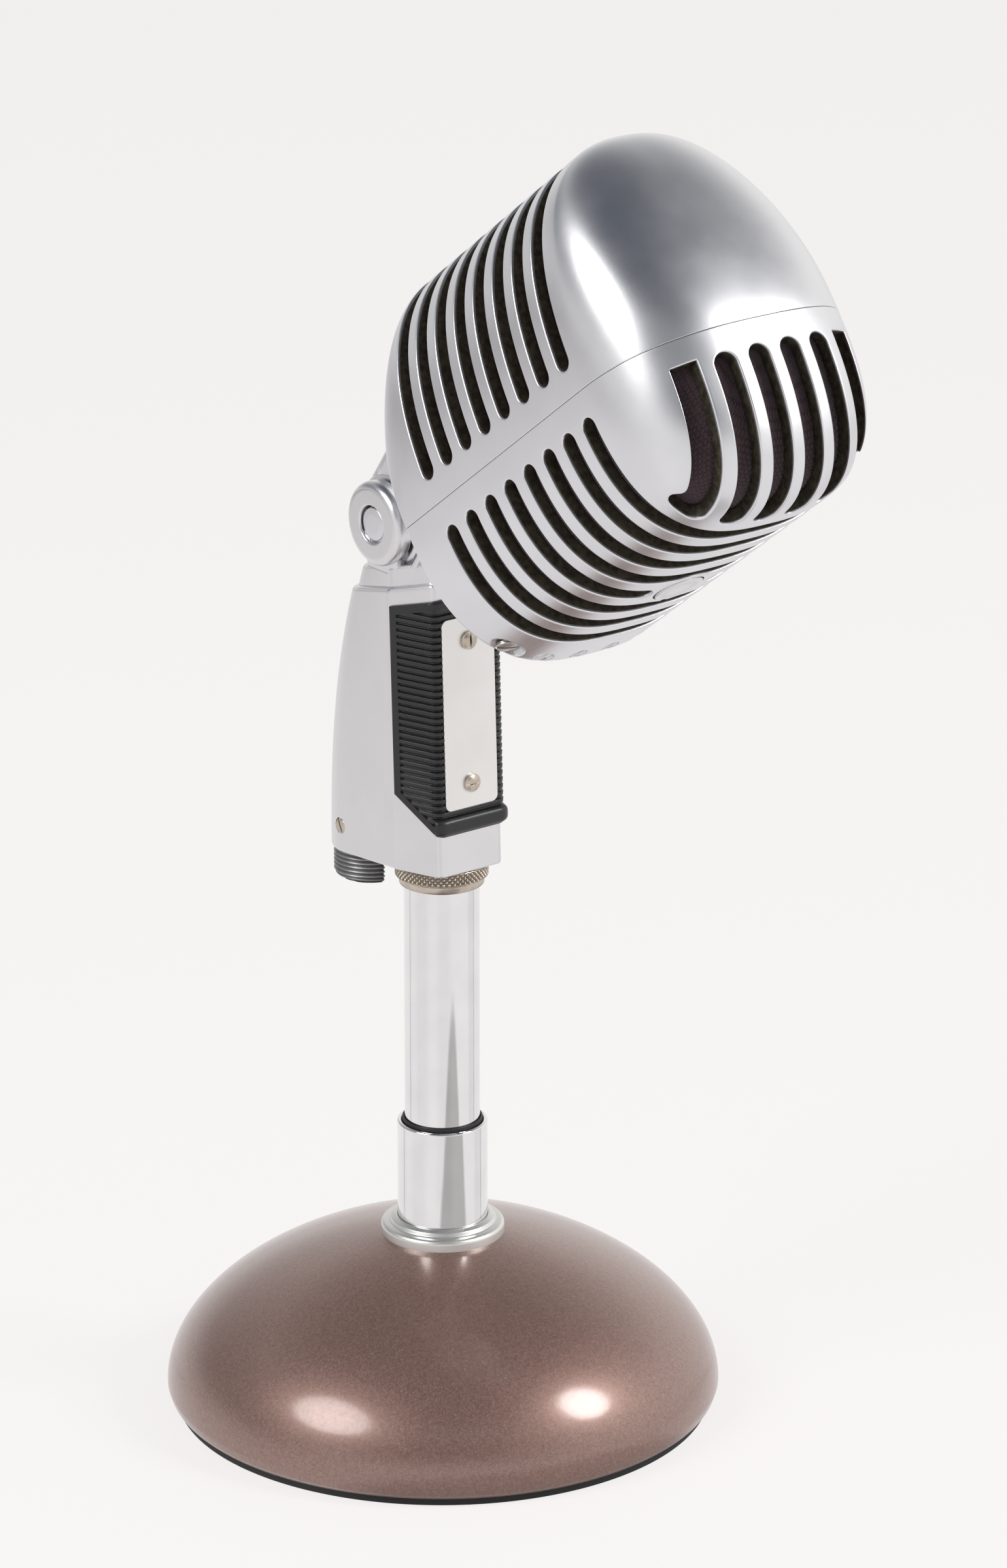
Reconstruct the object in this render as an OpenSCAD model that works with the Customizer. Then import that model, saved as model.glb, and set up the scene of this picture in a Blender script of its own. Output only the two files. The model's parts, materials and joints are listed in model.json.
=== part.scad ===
// Desk microphone: slotted two-shell head on a tilting mount, telescoping
// tube and domed base. Millimetres, +Z up, front towards -Y.
// The origin is the centre of the base's underside.

/* [Base] */
// Widest diameter of the domed base
base_d = 117.3; // [105:0.1:130]
// Height of the dome's crown above the table
dome_h = 39.6; // [34:0.1:46]
// Height of the dome's widest line above the table
belly_h = 4.4; // [3.4:0.1:7]
// Wall of the base casting
base_wall = 7; // [5:0.5:9]
// Diameter of the boss that carries the sleeve
boss_d = 34; // [30:0.5:40]
// Length of the boss below the sleeve's seat on the dome
boss_len = 23.4; // [21:0.1:24.5]
// Thickness of the pad under the base
pad_t = 1.6; // [1:0.1:2.4]
// How far the pad is set in from the widest line
pad_inset = 2; // [1:0.1:4]
// Thickness of the ballast disc inside the base
ballast_t = 8; // [4:0.5:9]

/* [Stand] */
// Outer diameter of the sliding tube
tube_d = 15.875; // [15:0.005:16.6]
// Wall of the sliding tube
tube_wall = 1.25; // [1:0.05:1.8]
// Visible length of the tube above the sleeve
tube_show = 53.1; // [40:0.1:80]
// Outer diameter of the sleeve
sleeve_d = 19.05; // [18.6:0.01:19.8]
// Height of the sleeve above its seat on the dome
sleeve_h = 25.8; // [22:0.1:36]
// Wall of the black liner between sleeve and tube
liner_t = 0.45; // [0.35:0.01:0.55]
// How far the liner stands above the sleeve's rim
liner_proud = 0.7; // [0.3:0.05:1.2]
// Length of the liner
liner_len = 26; // [18:0.5:28]
// Travel of the tube from its bottom seat to its stop
tube_travel = 20; // [10:0.5:22]
// Diameter of the flange ring on the dome
flange_d = 26.1; // [24:0.1:32]
// Height of the flange ring above its seat
flange_h = 4.3; // [3.4:0.1:6]
// Diameter of the knurled lock ring
ring_d = 19.6; // [18.8:0.1:20.2]
// Height of the lock ring's knurled band
ring_h = 3.1; // [2.4:0.1:5]
// Height of the plain collar under the knurled band
ring_collar_h = 1.6; // [1:0.1:2.5]
// Length of stand thread that enters the mount
thread_len = 10; // [8:0.5:12]

/* [Mount] */
// Half width of the flat front face
front_half = 8; // [7:0.1:9]
// Distance of the front face's foot from the stand axis
front_y = 10.2; // [10:0.1:12]
// Half width where chamfers meet the sides
side_half = 11.8; // [11.4:0.1:13]
// Depth of the chamfer faces, front to back
chamfer_y = 10.5; // [8:0.1:12]
// Radius of the rounded rear
rear_r = 9.6; // [9.4:0.1:10.6]
// Distance of the rear rounding's centre behind the stand axis
rear_y = 22.3; // [21.8:0.1:23]
// How far the rear leans forward on its way up
rear_lean = 11; // [8:0.1:12]
// How far the front leans back on its way up
front_lean = 2.3; // [1:0.1:3]
// Drop of the underside at the rear
rear_drop = 2.9; // [1:0.1:3.5]
// Height of the shoulder at the front face
shoulder_h = 63.4; // [58:0.1:72]
// Fall of the shoulder towards the rear, in degrees
shoulder_fall = 15; // [8:0.5:18]
// Wall of the mount casting
mount_wall = 2; // [1.6:0.1:2.4]
// Thickness of the mount's floor
floor_t = 4; // [3:0.1:6]
// Height of the swivel collar above the shoulder
collar_h = 4.6; // [3.6:0.1:5.4]
// Set-in of the collar from the mount's sides
collar_inset = 1.1; // [0.6:0.1:1.6]

/* [Insert] */
// Height of the black insert's lower edge at the front
insert_foot = 9.1; // [7:0.1:12]
// Gap between the insert's upper edge and the shoulder
insert_gap = 3.7; // [2.5:0.1:5]
// How far the insert's frame stands proud of the casting
insert_proud = 0.9; // [0.6:0.05:1.4]
// Depth of the insert's pocket in the casting
insert_depth = 1; // [0.6:0.1:1.2]
// Width of the insert's smooth frame
insert_frame = 1.7; // [1.2:0.1:2.4]
// Distance between the insert's ribs
rib_pitch = 1.25; // [1:0.05:2]
// Height of the lip along the insert's foot
lip_h = 4.6; // [3.5:0.1:6]
// Half width of the nameplate
plate_half = 6.7; // [5.5:0.1:7]
// Gap between the nameplate's upper edge and the insert's frame
plate_gap = 2.6; // [1.5:0.1:6]
// Thickness of the nameplate
plate_t = 0.5; // [0.4:0.05:1]

/* [Connector] */
// Outer diameter of the connector's thread
plug_d = 15.875; // [15.4:0.005:16]
// Distance of the connector's axis behind the stand axis
plug_y = 24.4; // [24:0.1:24.6]
// Length of the connector below the mount's rear underside
plug_len = 6.6; // [5:0.1:8]
// Width of the keyway in the connector's thread
keyway_w = 4.2; // [3:0.1:5]
// Diameter of the impedance selector's knob
knob_d = 3.8; // [3.2:0.1:4]

/* [Swivel] */
// Height of the tilt axis above the mount's shoulder
pivot_rise = 10.1; // [8.8:0.1:12]
// Distance of the tilt axis behind the stand axis
pivot_y = 6.4; // [5:0.1:8]
// Diameter of the swivel ears
ear_d = 17.8; // [17:0.1:19]
// Distance of the ears' outer faces from the middle
ear_out = 13; // [12.6:0.1:14]
// Distance of the ears' inner faces from the middle
ear_in = 9.1; // [8.6:0.1:9.3]
// Diameter of the tilt pin
pin_d = 5; // [4:0.1:5.4]
// Diameter of the recess in each ear
recess_d = 8.1; // [7.6:0.1:9]
// Forward tilt of the head in the stored pose, in degrees
tilt = 53.2; // [0:0.1:65]

/* [Head] */
// Height of the head
head_h = 95.3; // [90:0.1:104]
// Half width of the head
head_half = 29.4; // [28:0.1:31]
// Depth of the front shell, from the seam to the front
front_depth = 34.3; // [32:0.1:37]
// Depth of the rear shell, from the seam to the back
rear_depth = 47.2; // [45:0.1:50]
// Height of the head's underside above the tilt axis
head_rise = 30.9; // [28:0.1:34]
// Distance of the seam in front of the tilt axis
seam_y = 11.6; // [10:0.1:13]
// Wall of the head's shells
shell_wall = 3; // [2.4:0.1:3.4]
// Distance between slots, up and across
slot_pitch = 7.67; // [7.3:0.01:7.9]
// Height of the lowest slot above the head's underside
slot_first = 16.2; // [15:0.1:18]
// Least distance of the highest slot below the head's top
crown_room = 25; // [23:0.1:26]
// Width of the horizontal slots
slot_w = 4.2; // [3.4:0.1:4.6]
// Width of the upright slots
upright_w = 4.8; // [3.8:0.1:5.2]
// Distance of the slots' ends from the seam
slot_land = 5.1; // [4:0.1:7]
// Thickness of the woven lining
cloth_t = 0.6; // [0.4:0.1:1]
// Radius of the round badge
badge_r = 5.1; // [4.2:0.1:5.4]

/* [Hidden] */

$fn = 64;
// Resolution of shapes inside a hull
soft_fn = 32;
// Radial clearance of a running fit
fit = 0.05;
// Gap between curved or soft neighbours
clear = 0.3;
// Small overlap for clean cuts
cut = 1;
// Thickness of the slices that span a hull
slice = 0.02;

// Roundness of the dome across and up
dome_across = 1.6;
dome_up = 1.93;
// Radius of the dome at its foot
foot_in = 1.6;
dome_r = base_d / 2;
function dome_z(r) = belly_h + (dome_h - belly_h) * pow(1 - pow(r / dome_r, dome_across), 1 / dome_up);

flange_r = flange_d / 2;
flange_sink = 0.5;
seat_z = dome_z(flange_r) - flange_sink;
sleeve_r = sleeve_d / 2;
tube_r = tube_d / 2;
liner_in = tube_r + fit;
sleeve_in = liner_in + liner_t;
sleeve_top = seat_z + sleeve_h;
nut_h = 5;
washer_t = 1.2;
boss_z = seat_z - boss_len;
nut_z = boss_z - washer_t - nut_h;
plug_t = 2;
tube_foot = nut_z + plug_t;
stop_h = 4;
liner_foot = sleeve_top + liner_proud - liner_len;
tube_top = sleeve_top + tube_show;
ring_r = ring_d / 2;
ring_z = tube_top + 0.15;
mount_gap = 0.1;
mount_z = ring_z + ring_collar_h + ring_h + mount_gap;
bore_r = tube_r - tube_wall;

chin_len = 30;
chin_sink = 1.4;
chin_screw_r = 1.5;
chin_head_r = 2.6;
dimple_pitch = 8.2;
dimple_r = 1.9;
dimple_deep = 1;
badge_t = 1.2;

pivot_up = shoulder_h + pivot_rise;
pivot_z = mount_z + pivot_up;
plug_r = plug_d / 2;
knob_r = knob_d / 2;
knob_y = ring_r + clear + knob_r;
ear_r = ear_d / 2;
pin_r = pin_d / 2;
recess_r = recess_d / 2;
knuckle_half = ear_in - 0.6;
knuckle_r = ear_r + 1.3;
plug_neck_r = plug_r - 0.9;
recess_floor = ear_in + 1;
tilt_nut_h = 1.4;
cap_sink = 0.6;

slot_count = 1 + floor((head_h - slot_first - crown_room) / slot_pitch);
upright_count = 6;
badge_slot = 3;
badge_up = slot_first + badge_slot * slot_pitch;
chin_up = 6.1;
chin_x = 19.6;

// Dome outline from the axis to the foot, r against z
function dome_outline(r, h, foot) = concat(
    [for (i = [0:28]) let (a = 90 * i / 28)
        [r * pow(sin(a), 2 / dome_across), belly_h + (h - belly_h) * pow(cos(a), 2 / dome_up)]],
    [[r - foot_in * 0.35, (belly_h + foot) / 2 - 0.4], [r - foot_in, foot], [0, foot]]);

module tube(r_out, r_in, z0, z1) {
    translate([0, 0, z0]) difference() {
        cylinder(r = r_out, h = z1 - z0);
        translate([0, 0, -cut]) cylinder(r = r_in, h = z1 - z0 + 2 * cut);
    }
}

// Domed iron casting, hollow below, with a boss for the sleeve
module base_casting() color([0.52, 0.42, 0.39]) difference() {
    union() {
        difference() {
            rotate_extrude($fn = 120) polygon(dome_outline(dome_r, dome_h, pad_t));
            rotate_extrude($fn = 120) intersection() {
                polygon(dome_outline(dome_r - base_wall, dome_h - base_wall, -cut));
                square([dome_r, dome_h]);
            }
        }
        translate([0, 0, boss_z]) cylinder(d = boss_d, h = dome_z(boss_d / 2) - base_wall / 2 - boss_z);
    }
    translate([0, 0, -cut]) cylinder(r = sleeve_r + fit, h = dome_h + 2 * cut);
    translate([0, 0, seat_z]) cylinder(r = flange_r + fit, h = dome_h);
}

module base_pad() color([0.07, 0.07, 0.07]) cylinder(r = dome_r - pad_inset, h = pad_t, $fn = 96);

module base_ballast() color([0.3, 0.3, 0.32])
    tube(dome_r - base_wall - 2, boss_d / 2 + 1, pad_t, pad_t + ballast_t);

// Turned ring with a rounded edge and a stepped top
module flange_ring() color([0.78, 0.78, 0.75]) translate([0, 0, seat_z]) rotate_extrude() polygon(concat(
    [[sleeve_r + fit, 0], [flange_r, 0]],
    [for (i = [0:6]) let (a = 15 * i)
        [flange_r - flange_h * 0.28 * (1 - cos(a)), flange_h * (0.45 + 0.28 * sin(a))]],
    [[flange_r - flange_h * 0.42, flange_h * 0.66],
     [flange_r - flange_h * 0.5, flange_h * 0.86],
     [sleeve_r + 0.5, flange_h], [sleeve_r + fit, flange_h]]));

module sleeve() color([0.85, 0.86, 0.88]) rotate_extrude() polygon(concat(
    [[sleeve_in, nut_z], [sleeve_r, nut_z]],
    [for (i = [0:6]) let (a = 30 * i, rim = (sleeve_r - sleeve_in) / 2)
        [sleeve_in + rim + rim * cos(a), sleeve_top - rim + rim * sin(a)]]));

module sleeve_liner() color([0.05, 0.05, 0.05]) tube(sleeve_in, liner_in, liner_foot, sleeve_top + liner_proud);

// Disc that closes the sleeve and carries the lowered tube
module sleeve_plug() color([0.6, 0.6, 0.6]) translate([0, 0, nut_z]) cylinder(r = sleeve_in, h = plug_t);

module base_washer() color([0.65, 0.65, 0.65]) tube(sleeve_r + 5, sleeve_r + fit, nut_z + nut_h, boss_z);

module base_nut() color([0.6, 0.6, 0.62]) translate([0, 0, nut_z]) difference() {
    cylinder(r = sleeve_r + 4.6, h = nut_h, $fn = 6);
    translate([0, 0, -cut]) cylinder(r = sleeve_r + fit, h = nut_h + 2 * cut);
}

module stand_tube() color([0.86, 0.87, 0.89]) tube(tube_r, bore_r, tube_foot, tube_top);

// Ring that stops the raised tube against the liner
module tube_stop() color([0.55, 0.55, 0.5]) {
    stop_z = liner_foot - tube_travel - stop_h;
    tube(sleeve_in - fit, tube_r, stop_z, stop_z + stop_h);
}

// Threaded plug in the tube's upper end
module thread_spigot() color([0.7, 0.66, 0.55]) difference() {
    union() {
        translate([0, 0, tube_top - 12]) cylinder(r = bore_r, h = 12 + cut);
        translate([0, 0, tube_top]) cylinder(r = tube_r, h = mount_z - tube_top + thread_len);
    }
    translate([0, 0, tube_top - 12 - cut])
        cylinder(d = 8, h = 12 + mount_z - tube_top + thread_len + 2 * cut);
}

// Knurled lock ring with a plain collar
module lock_ring() color([0.72, 0.65, 0.52]) {
    band_z = ring_z + ring_collar_h;
    knurls = 40;
    difference() {
        union() {
            translate([0, 0, ring_z]) cylinder(r = ring_r - 0.9, h = ring_collar_h);
            translate([0, 0, band_z]) cylinder(r = ring_r, h = ring_h);
        }
        translate([0, 0, ring_z - cut]) cylinder(r = tube_r + fit, h = ring_collar_h + ring_h + 2 * cut);
        for (i = [0:knurls - 1]) rotate([0, 0, 360 * i / knurls])
            translate([ring_r, 0, band_z + 0.4]) rotate([0, 0, 45])
                translate([-0.3, -0.3, 0]) cube([0.6, 0.6, ring_h - 0.8]);
    }
}

module at_mount() translate([0, 0, mount_z]) children();

function rear_at(k) = rear_y - rear_lean * pow(k, 2.3);
function front_at(k) = -front_y + front_lean * k;

// Plan outline of the mount's front and chamfers at a share k of its height
function nose(k, inset) = [
    [-side_half + inset, front_at(k) + chamfer_y], [-front_half + inset * 0.7, front_at(k) + inset],
    [front_half - inset * 0.7, front_at(k) + inset], [side_half - inset, front_at(k) + chamfer_y]];

// Solid body of the mount from z0 upwards, set in from the outside
module mount_body(inset, z0, tall) hull() for (k = [0, 0.3, 0.55, 0.75, 0.9, 1.1]) {
    z = k == 0 ? z0 : k * shoulder_h;
    if (k < 1 || tall) {
        translate([0, 0, z]) linear_extrude(slice) polygon(nose(k, inset));
        translate([0, rear_at(k), z - (k == 0 ? rear_drop : 0)])
            cylinder(r = rear_r - inset, h = slice, $fn = soft_fn);
    }
}

// Half space above a plane that falls towards the rear from height z at the front face
module above(z) translate([0, front_at(1), z]) rotate([-shoulder_fall, 0, 0])
    translate([-50, -50, 0]) cube([100, 120, 90]);

// Half space above the insert's diagonal foot
foot_rise = 38;
module above_foot(z) translate([0, -front_y, z]) rotate([foot_rise, 0, 0])
    translate([-50, -60, 0]) cube([100, 120, 120]);

// Band along the front and chamfers, from proud of them to a depth inside
module nose_band(proud, depth, side_in) difference() {
    leaning(1) linear_extrude(shoulder_h + 10) difference() {
        offset(delta = proud) polygon(concat(nose(0, 0), [[side_half, 8], [-side_half, 8]]));
        offset(delta = -depth) polygon(concat(nose(0, 0), [[side_half, 8], [-side_half, 8]]));
    }
    leaning(0.4) translate([-50, -front_y + chamfer_y - side_in, -cut]) cube([100, 50, shoulder_h + 12]);
}

// Leans children back with a share of the front face's lean
module leaning(share) rotate([-atan(share * front_lean / shoulder_h), 0, 0]) children();

// The insert's outline, grown or shrunk by grow along its edges
module insert_form(proud, depth, grow) intersection() {
    difference() {
        nose_band(proud, depth, 0.6 - grow);
        above(shoulder_h - insert_gap + grow);
    }
    above_foot(insert_foot - grow);
}

module mount_housing() color([0.74, 0.74, 0.76]) at_mount() difference() {
    mount_body(0, 0, true);
    above(shoulder_h);
    difference() {
        mount_body(mount_wall, floor_t + rear_drop, true);
        cylinder(r = tube_r + 4, h = thread_len + 1);
    }
    insert_form(5, insert_depth, 0.05);
    translate([0, 0, -5]) cylinder(r = ring_r + clear, h = 5);
    translate([0, 0, -cut]) cylinder(r = tube_r + bushing_wall, h = thread_len + 3 * cut);
    translate([0, plug_y, -rear_drop - cut]) cylinder(r = plug_neck_r + fit, h = 30);
    translate([0, knob_y, -rear_drop - cut]) cylinder(r = 1.2 + fit, h = 20);
    set_screw_at() translate([0, 0, -6]) cylinder(r = 1.8 + fit, h = 10);
    fork_screw_at() translate([0, 0, -3]) cylinder(r = 1.5 + fit, h = 10);
}

bushing_wall = 1.15;
module thread_bushing() color([0.72, 0.6, 0.35]) at_mount()
    tube(tube_r + bushing_wall, tube_r + fit, 0, insert_foot - 0.5);

// Black ribbed insert with a smooth frame, a thick lip and a plain front land
rib_top = shoulder_h - insert_gap - insert_frame;
module insert_panel() color([0.06, 0.06, 0.065]) at_mount() {
    difference() {
        insert_form(insert_proud, insert_depth, 0);
        difference() {
            intersection() {
                nose_band(3, -insert_proud * 0.35, insert_frame);
                above_foot(insert_foot + lip_h * 0.6);
            }
            above(rib_top);
        }
        for (i = [0:ceil(shoulder_h / rib_pitch)]) intersection() {
            difference() {
                nose_band(3, 0, insert_frame);
                above(rib_top);
            }
            above_foot(insert_foot + lip_h * 0.6);
            translate([-50, -50, insert_foot + i * rib_pitch]) cube([100, 100, rib_pitch * 0.45]);
        }
        plate_screw_at() translate([0, 0, -3]) cylinder(r = plate_stem_r + fit, h = 4);
    }
    intersection() {
        translate([0, 0, insert_foot]) lip();
        above_foot(insert_foot);
    }
}

// Places children on the axes of the nameplate's screws
module plate_screw_at() on_front(plate_z + plate_h / 2)
    for (side = [-1, 1]) translate([0, side * (plate_h / 2 - plate_screw_in), 0]) children();

// Rounded lip across the front, standing further out than the frame
module lip() {
    lip_out = insert_proud + 0.8;
    translate([-front_half - 0.4, -front_y - lip_out + 1.1, 1.4]) {
        rotate([0, 90, 0]) cylinder(r = 1.1, h = 2 * front_half + 0.8);
        cube([2 * front_half + 0.8, lip_out, lip_h - 2.4]);
    }
    translate([-front_half - 0.4, -front_y - lip_out, 1.4]) cube([2 * front_half + 0.8, 1.3, lip_h - 2.2]);
}

plate_z = insert_foot + lip_h + 0.7;
plate_h = rib_top - plate_gap - plate_z;
plate_y = front_y + insert_proud * 0.35 + 0.02;
plate_screw_in = 5.2;
plate_screw_r = 1.95;
plate_stem_r = 1.2;

// Places children on the front face, +Z pointing out of it, at a height on the face
module on_front(z) translate([0, -plate_y + front_lean * z / shoulder_h, z])
    rotate([90, 0, 0]) leaning(1) children();

module nameplate() color([0.8, 0.79, 0.76]) at_mount() on_front(plate_z + plate_h / 2) difference() {
    linear_extrude(plate_t) offset(r = 1.4, $fn = 24)
        square([2 * plate_half - 2.8, plate_h - 2.8], center = true);
    for (side = [-1, 1]) translate([0, side * (plate_h / 2 - plate_screw_in), -cut])
        cylinder(r = plate_stem_r + fit, h = plate_t + 2 * cut);
}

// Two round-headed slotted screws that hold the nameplate
module nameplate_screws() color([0.66, 0.62, 0.52]) at_mount() on_front(plate_z + plate_h / 2)
    for (side = [-1, 1]) translate([0, side * (plate_h / 2 - plate_screw_in), 0]) difference() {
        union() {
            translate([0, 0, plate_t]) intersection() {
                cylinder(r = plate_screw_r, h = 1);
                translate([0, 0, -1.6]) sphere(r = plate_screw_r + 0.6);
            }
            translate([0, 0, -1]) cylinder(r = plate_stem_r, h = plate_t + 1.05);
        }
        rotate([0, 0, side > 0 ? 90 : 0]) translate([-3, -0.25, plate_t + 0.55]) cube([6, 0.5, 2]);
    }

plug_top = floor_t + 9;
plug_foot = -rear_drop - plug_len;

// Threaded shell of the cable connector, with a keyway towards the stand
module connector_shell() color([0.5, 0.51, 0.5]) at_mount() translate([0, plug_y, 0]) difference() {
    union() {
        translate([0, 0, plug_foot]) cylinder(r = plug_r, h = plug_len);
        translate([0, 0, plug_foot]) cylinder(r = plug_neck_r, h = plug_top - plug_foot);
    }
    translate([0, 0, plug_foot - cut]) cylinder(r = plug_r - 1.5, h = plug_top - plug_foot + 2 * cut);
    translate([-keyway_w / 2, -plug_r - cut, plug_foot - cut]) cube([keyway_w, 5, plug_len + cut]);
}

module connector_insulator() color([0.08, 0.07, 0.06]) at_mount() translate([0, plug_y, 0]) difference() {
    translate([0, 0, plug_foot + 3.4]) cylinder(r = plug_r - 1.5, h = 6);
    for (i = [0:2]) rotate([0, 0, 120 * i + 90])
        translate([3.2, 0, plug_foot]) cylinder(r = 0.8, h = 12);
}

module connector_pins() color([0.8, 0.72, 0.5]) at_mount() translate([0, plug_y, 0])
    for (i = [0:2]) rotate([0, 0, 120 * i + 90])
        translate([3.2, 0, plug_foot + 1]) cylinder(r = 0.8, h = 11);

module set_screw_at() translate([-rear_r, plug_y - 2.4, floor_t - 1]) rotate([0, -90, 0]) children();

module connector_set_screw() color([0.66, 0.62, 0.52]) at_mount() set_screw_at() difference() {
    translate([0, 0, plug_neck_r - rear_r + 0.1]) cylinder(r = 1.8, h = rear_r - plug_neck_r);
    translate([-0.25, -3, -0.5]) cube([0.5, 6, 2]);
}

// Knob and shaft of the impedance selector
module selector_knob() color([0.1, 0.09, 0.08]) at_mount() translate([0, knob_y, 0]) difference() {
    union() {
        translate([0, 0, -rear_drop - 4.4]) cylinder(r = knob_r, h = 4.3);
        translate([0, 0, -rear_drop - 0.2]) cylinder(r = 1.2, h = rear_drop + thread_len + 4.5);
    }
    translate([-3, -0.4, -rear_drop - 5]) cube([6, 0.8, 1.6]);
}

// Contact wafer of the selector, on the floor's boss
module selector_wafer() color([0.4, 0.28, 0.15]) at_mount() translate([0, knob_y, 0]) difference() {
    translate([-5.5, -1.9, thread_len + 1]) cube([11, 3.8, 2]);
    cylinder(r = 1.2 + fit, h = 20);
}

core_z = thread_len + 12;
core_w = 13;
core_h = 20;
core_y = 4;
core_t = 8;
clip_w = 5;
clip_t = 0.8;

module transformer_core() color([0.35, 0.35, 0.37]) at_mount()
    translate([-core_w / 2, core_y - core_t / 2, core_z])
    difference() {
        cube([core_w, core_t, core_h]);
        for (side = [0, 1]) translate([2 + side * (core_w / 2 - 0.5), -cut, 3])
            cube([core_w / 2 - 3.5, core_t + 2 * cut, core_h - 6]);
    }

module transformer_winding() color([0.55, 0.25, 0.12]) at_mount()
    translate([0, core_y, core_z]) difference() {
    translate([-4.4, -6, 3.1]) cube([8.8, 12, core_h - 6.2]);
    translate([-1.55, -core_t / 2 - 0.05, 0]) cube([3.1, core_t + 0.1, core_h]);
}

// Strap that ties the transformer to the mount's floor boss
module transformer_clip() color([0.6, 0.6, 0.6]) at_mount() translate([0, core_y - clip_w / 2, 0]) {
    for (x = [-core_w / 2 - clip_t, core_w / 2]) translate([x, 0, thread_len + 1])
        cube([clip_t, clip_w, core_z + core_h - thread_len - 1]);
    for (z = [core_z - clip_t, core_z + core_h]) translate([-core_w / 2 - clip_t, 0, z])
        cube([core_w + 2 * clip_t, clip_w, clip_t]);
}

module at_pivot() translate([0, pivot_y, pivot_up]) rotate([0, 90, 0]) children();

// Round ear with a soft rim, along +X from the middle
module ear() rotate_extrude() polygon(concat(
    [[0, ear_in], [ear_r - 0.6, ear_in], [ear_r, ear_in + 0.6]],
    [for (i = [0:8]) let (a = 90 * i / 8, rim = (ear_out - ear_in) * 0.7)
        [ear_r - rim * (1 - cos(a)), ear_out - rim + rim * sin(a)]],
    [[0, ear_out]]));

// Collar and two ears that carry the tilt pin
module swivel_fork() color([0.76, 0.76, 0.77]) at_mount() difference() {
    union() {
        difference() {
            mount_body(collar_inset, 0, true);
            above(shoulder_h + collar_h);
        }
        for (side = [-1, 1]) at_pivot() mirror([0, 0, side < 0 ? 1 : 0]) ear();
        for (side = [-1, 1]) hull() {
            translate([side > 0 ? ear_in : -ear_in - 3, pivot_y - ear_r * 0.75, pivot_up - 3])
                cube([3, ear_r * 1.5, 0.1]);
            translate([side > 0 ? ear_in - 1 : -ear_in - 1, front_at(1) + 9.5, shoulder_h])
                cube([2, 10.5, 0.1]);
        }
        // Lip that rises ahead of the knuckle
        translate([-7.6, front_at(1) + 1.6, shoulder_h]) cube([15.2, 5, collar_h + 2.8]);
    }
    difference() {
        translate([-50, -50, -10]) cube([100, 130, shoulder_h + 90]);
        above(shoulder_h);
    }
    at_pivot() translate([0, 0, -ear_in]) cylinder(r = knuckle_r + 0.6, h = 2 * ear_in);
    at_pivot() translate([0, 0, -40]) cylinder(r = pin_r, h = 80);
    for (side = [-1, 1]) at_pivot() mirror([0, 0, side < 0 ? 1 : 0])
        translate([0, 0, recess_floor]) cylinder(r = recess_r, h = 20);
    translate([0, pivot_y + 4.5, 0]) cylinder(r = 3, h = shoulder_h + 20);
}

// Frame that plugs the fork into the open top of the mount
module fork_skirt() color([0.6, 0.6, 0.6]) at_mount() difference() {
    mount_body(mount_wall + fit, 0, true);
    mount_body(mount_wall + 2, 0, true);
    above(shoulder_h);
    difference() {
        translate([-50, -50, -10]) cube([100, 130, shoulder_h + 90]);
        above(shoulder_h - skirt_h);
    }
    fork_screw_at() cylinder(r = 1.5, h = 20);
}

// Rear screw hole, +Z pointing inwards from the mount's rear wall
module fork_screw_at() translate([0, rear_at(0.8) + rear_r + 0.2, 0.8 * shoulder_h]) rotate([90, 0, 0]) children();

module fork_screws() color([0.66, 0.64, 0.58]) at_mount() fork_screw_at() difference() {
    translate([0, 0, 0.3]) cylinder(r = 1.5, h = 6);
    translate([-3, -0.3, -cut]) cube([6, 0.6, 2]);
}

module tilt_pin() color([0.7, 0.7, 0.7]) at_mount() at_pivot() difference() {
    union() {
        translate([0, 0, -recess_floor - 1.3]) cylinder(r = pin_r, h = 2 * recess_floor + 2.4);
        translate([0, 0, -recess_floor - 1.3]) cylinder(r = recess_r - 0.3, h = 1.3);
    }
    translate([-5, -0.4, -recess_floor - 2]) cube([10, 0.8, 1.2]);
}

module tilt_nut() color([0.66, 0.66, 0.64]) at_mount()
    at_pivot() translate([0, 0, recess_floor]) difference() {
    cylinder(r = recess_r - 0.1, h = tilt_nut_h, $fn = 6);
    translate([0, 0, -cut]) cylinder(r = pin_r, h = 4);
}

// Flat plugs that close the ears' recesses
module pin_caps() color([0.8, 0.8, 0.8]) at_mount() for (side = [-1, 1]) at_pivot()
    mirror([0, 0, side < 0 ? 1 : 0])
    translate([0, 0, recess_floor + tilt_nut_h])
        cylinder(r = recess_r, h = ear_out - cap_sink - recess_floor - tilt_nut_h);

module friction_washers() color([0.35, 0.2, 0.1]) at_mount() for (side = [-1, 1]) at_pivot()
    mirror([0, 0, side < 0 ? 1 : 0]) tube(ear_r - 1, pin_r + fit, ear_in - 0.5, ear_in);

module at_head() translate([0, pivot_y, pivot_z]) rotate([tilt, 0, 0]) children();
module in_head() at_head() translate([0, -seam_y, head_rise]) children();

// Rounding of a section near the top and the foot of the head, as a share of its full size
function crown(u, len, power) = u <= head_h - len ? 1
    : pow(max(0, 1 - pow((u - head_h + len) / len, power)), 1 / power);
chin_keep = 0.2;
function heel(u, len) = u >= len ? 1
    : chin_keep + (1 - chin_keep) * pow(max(0, 1 - pow((len - u) / len, 2.2)), 1 / 2.2);

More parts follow.
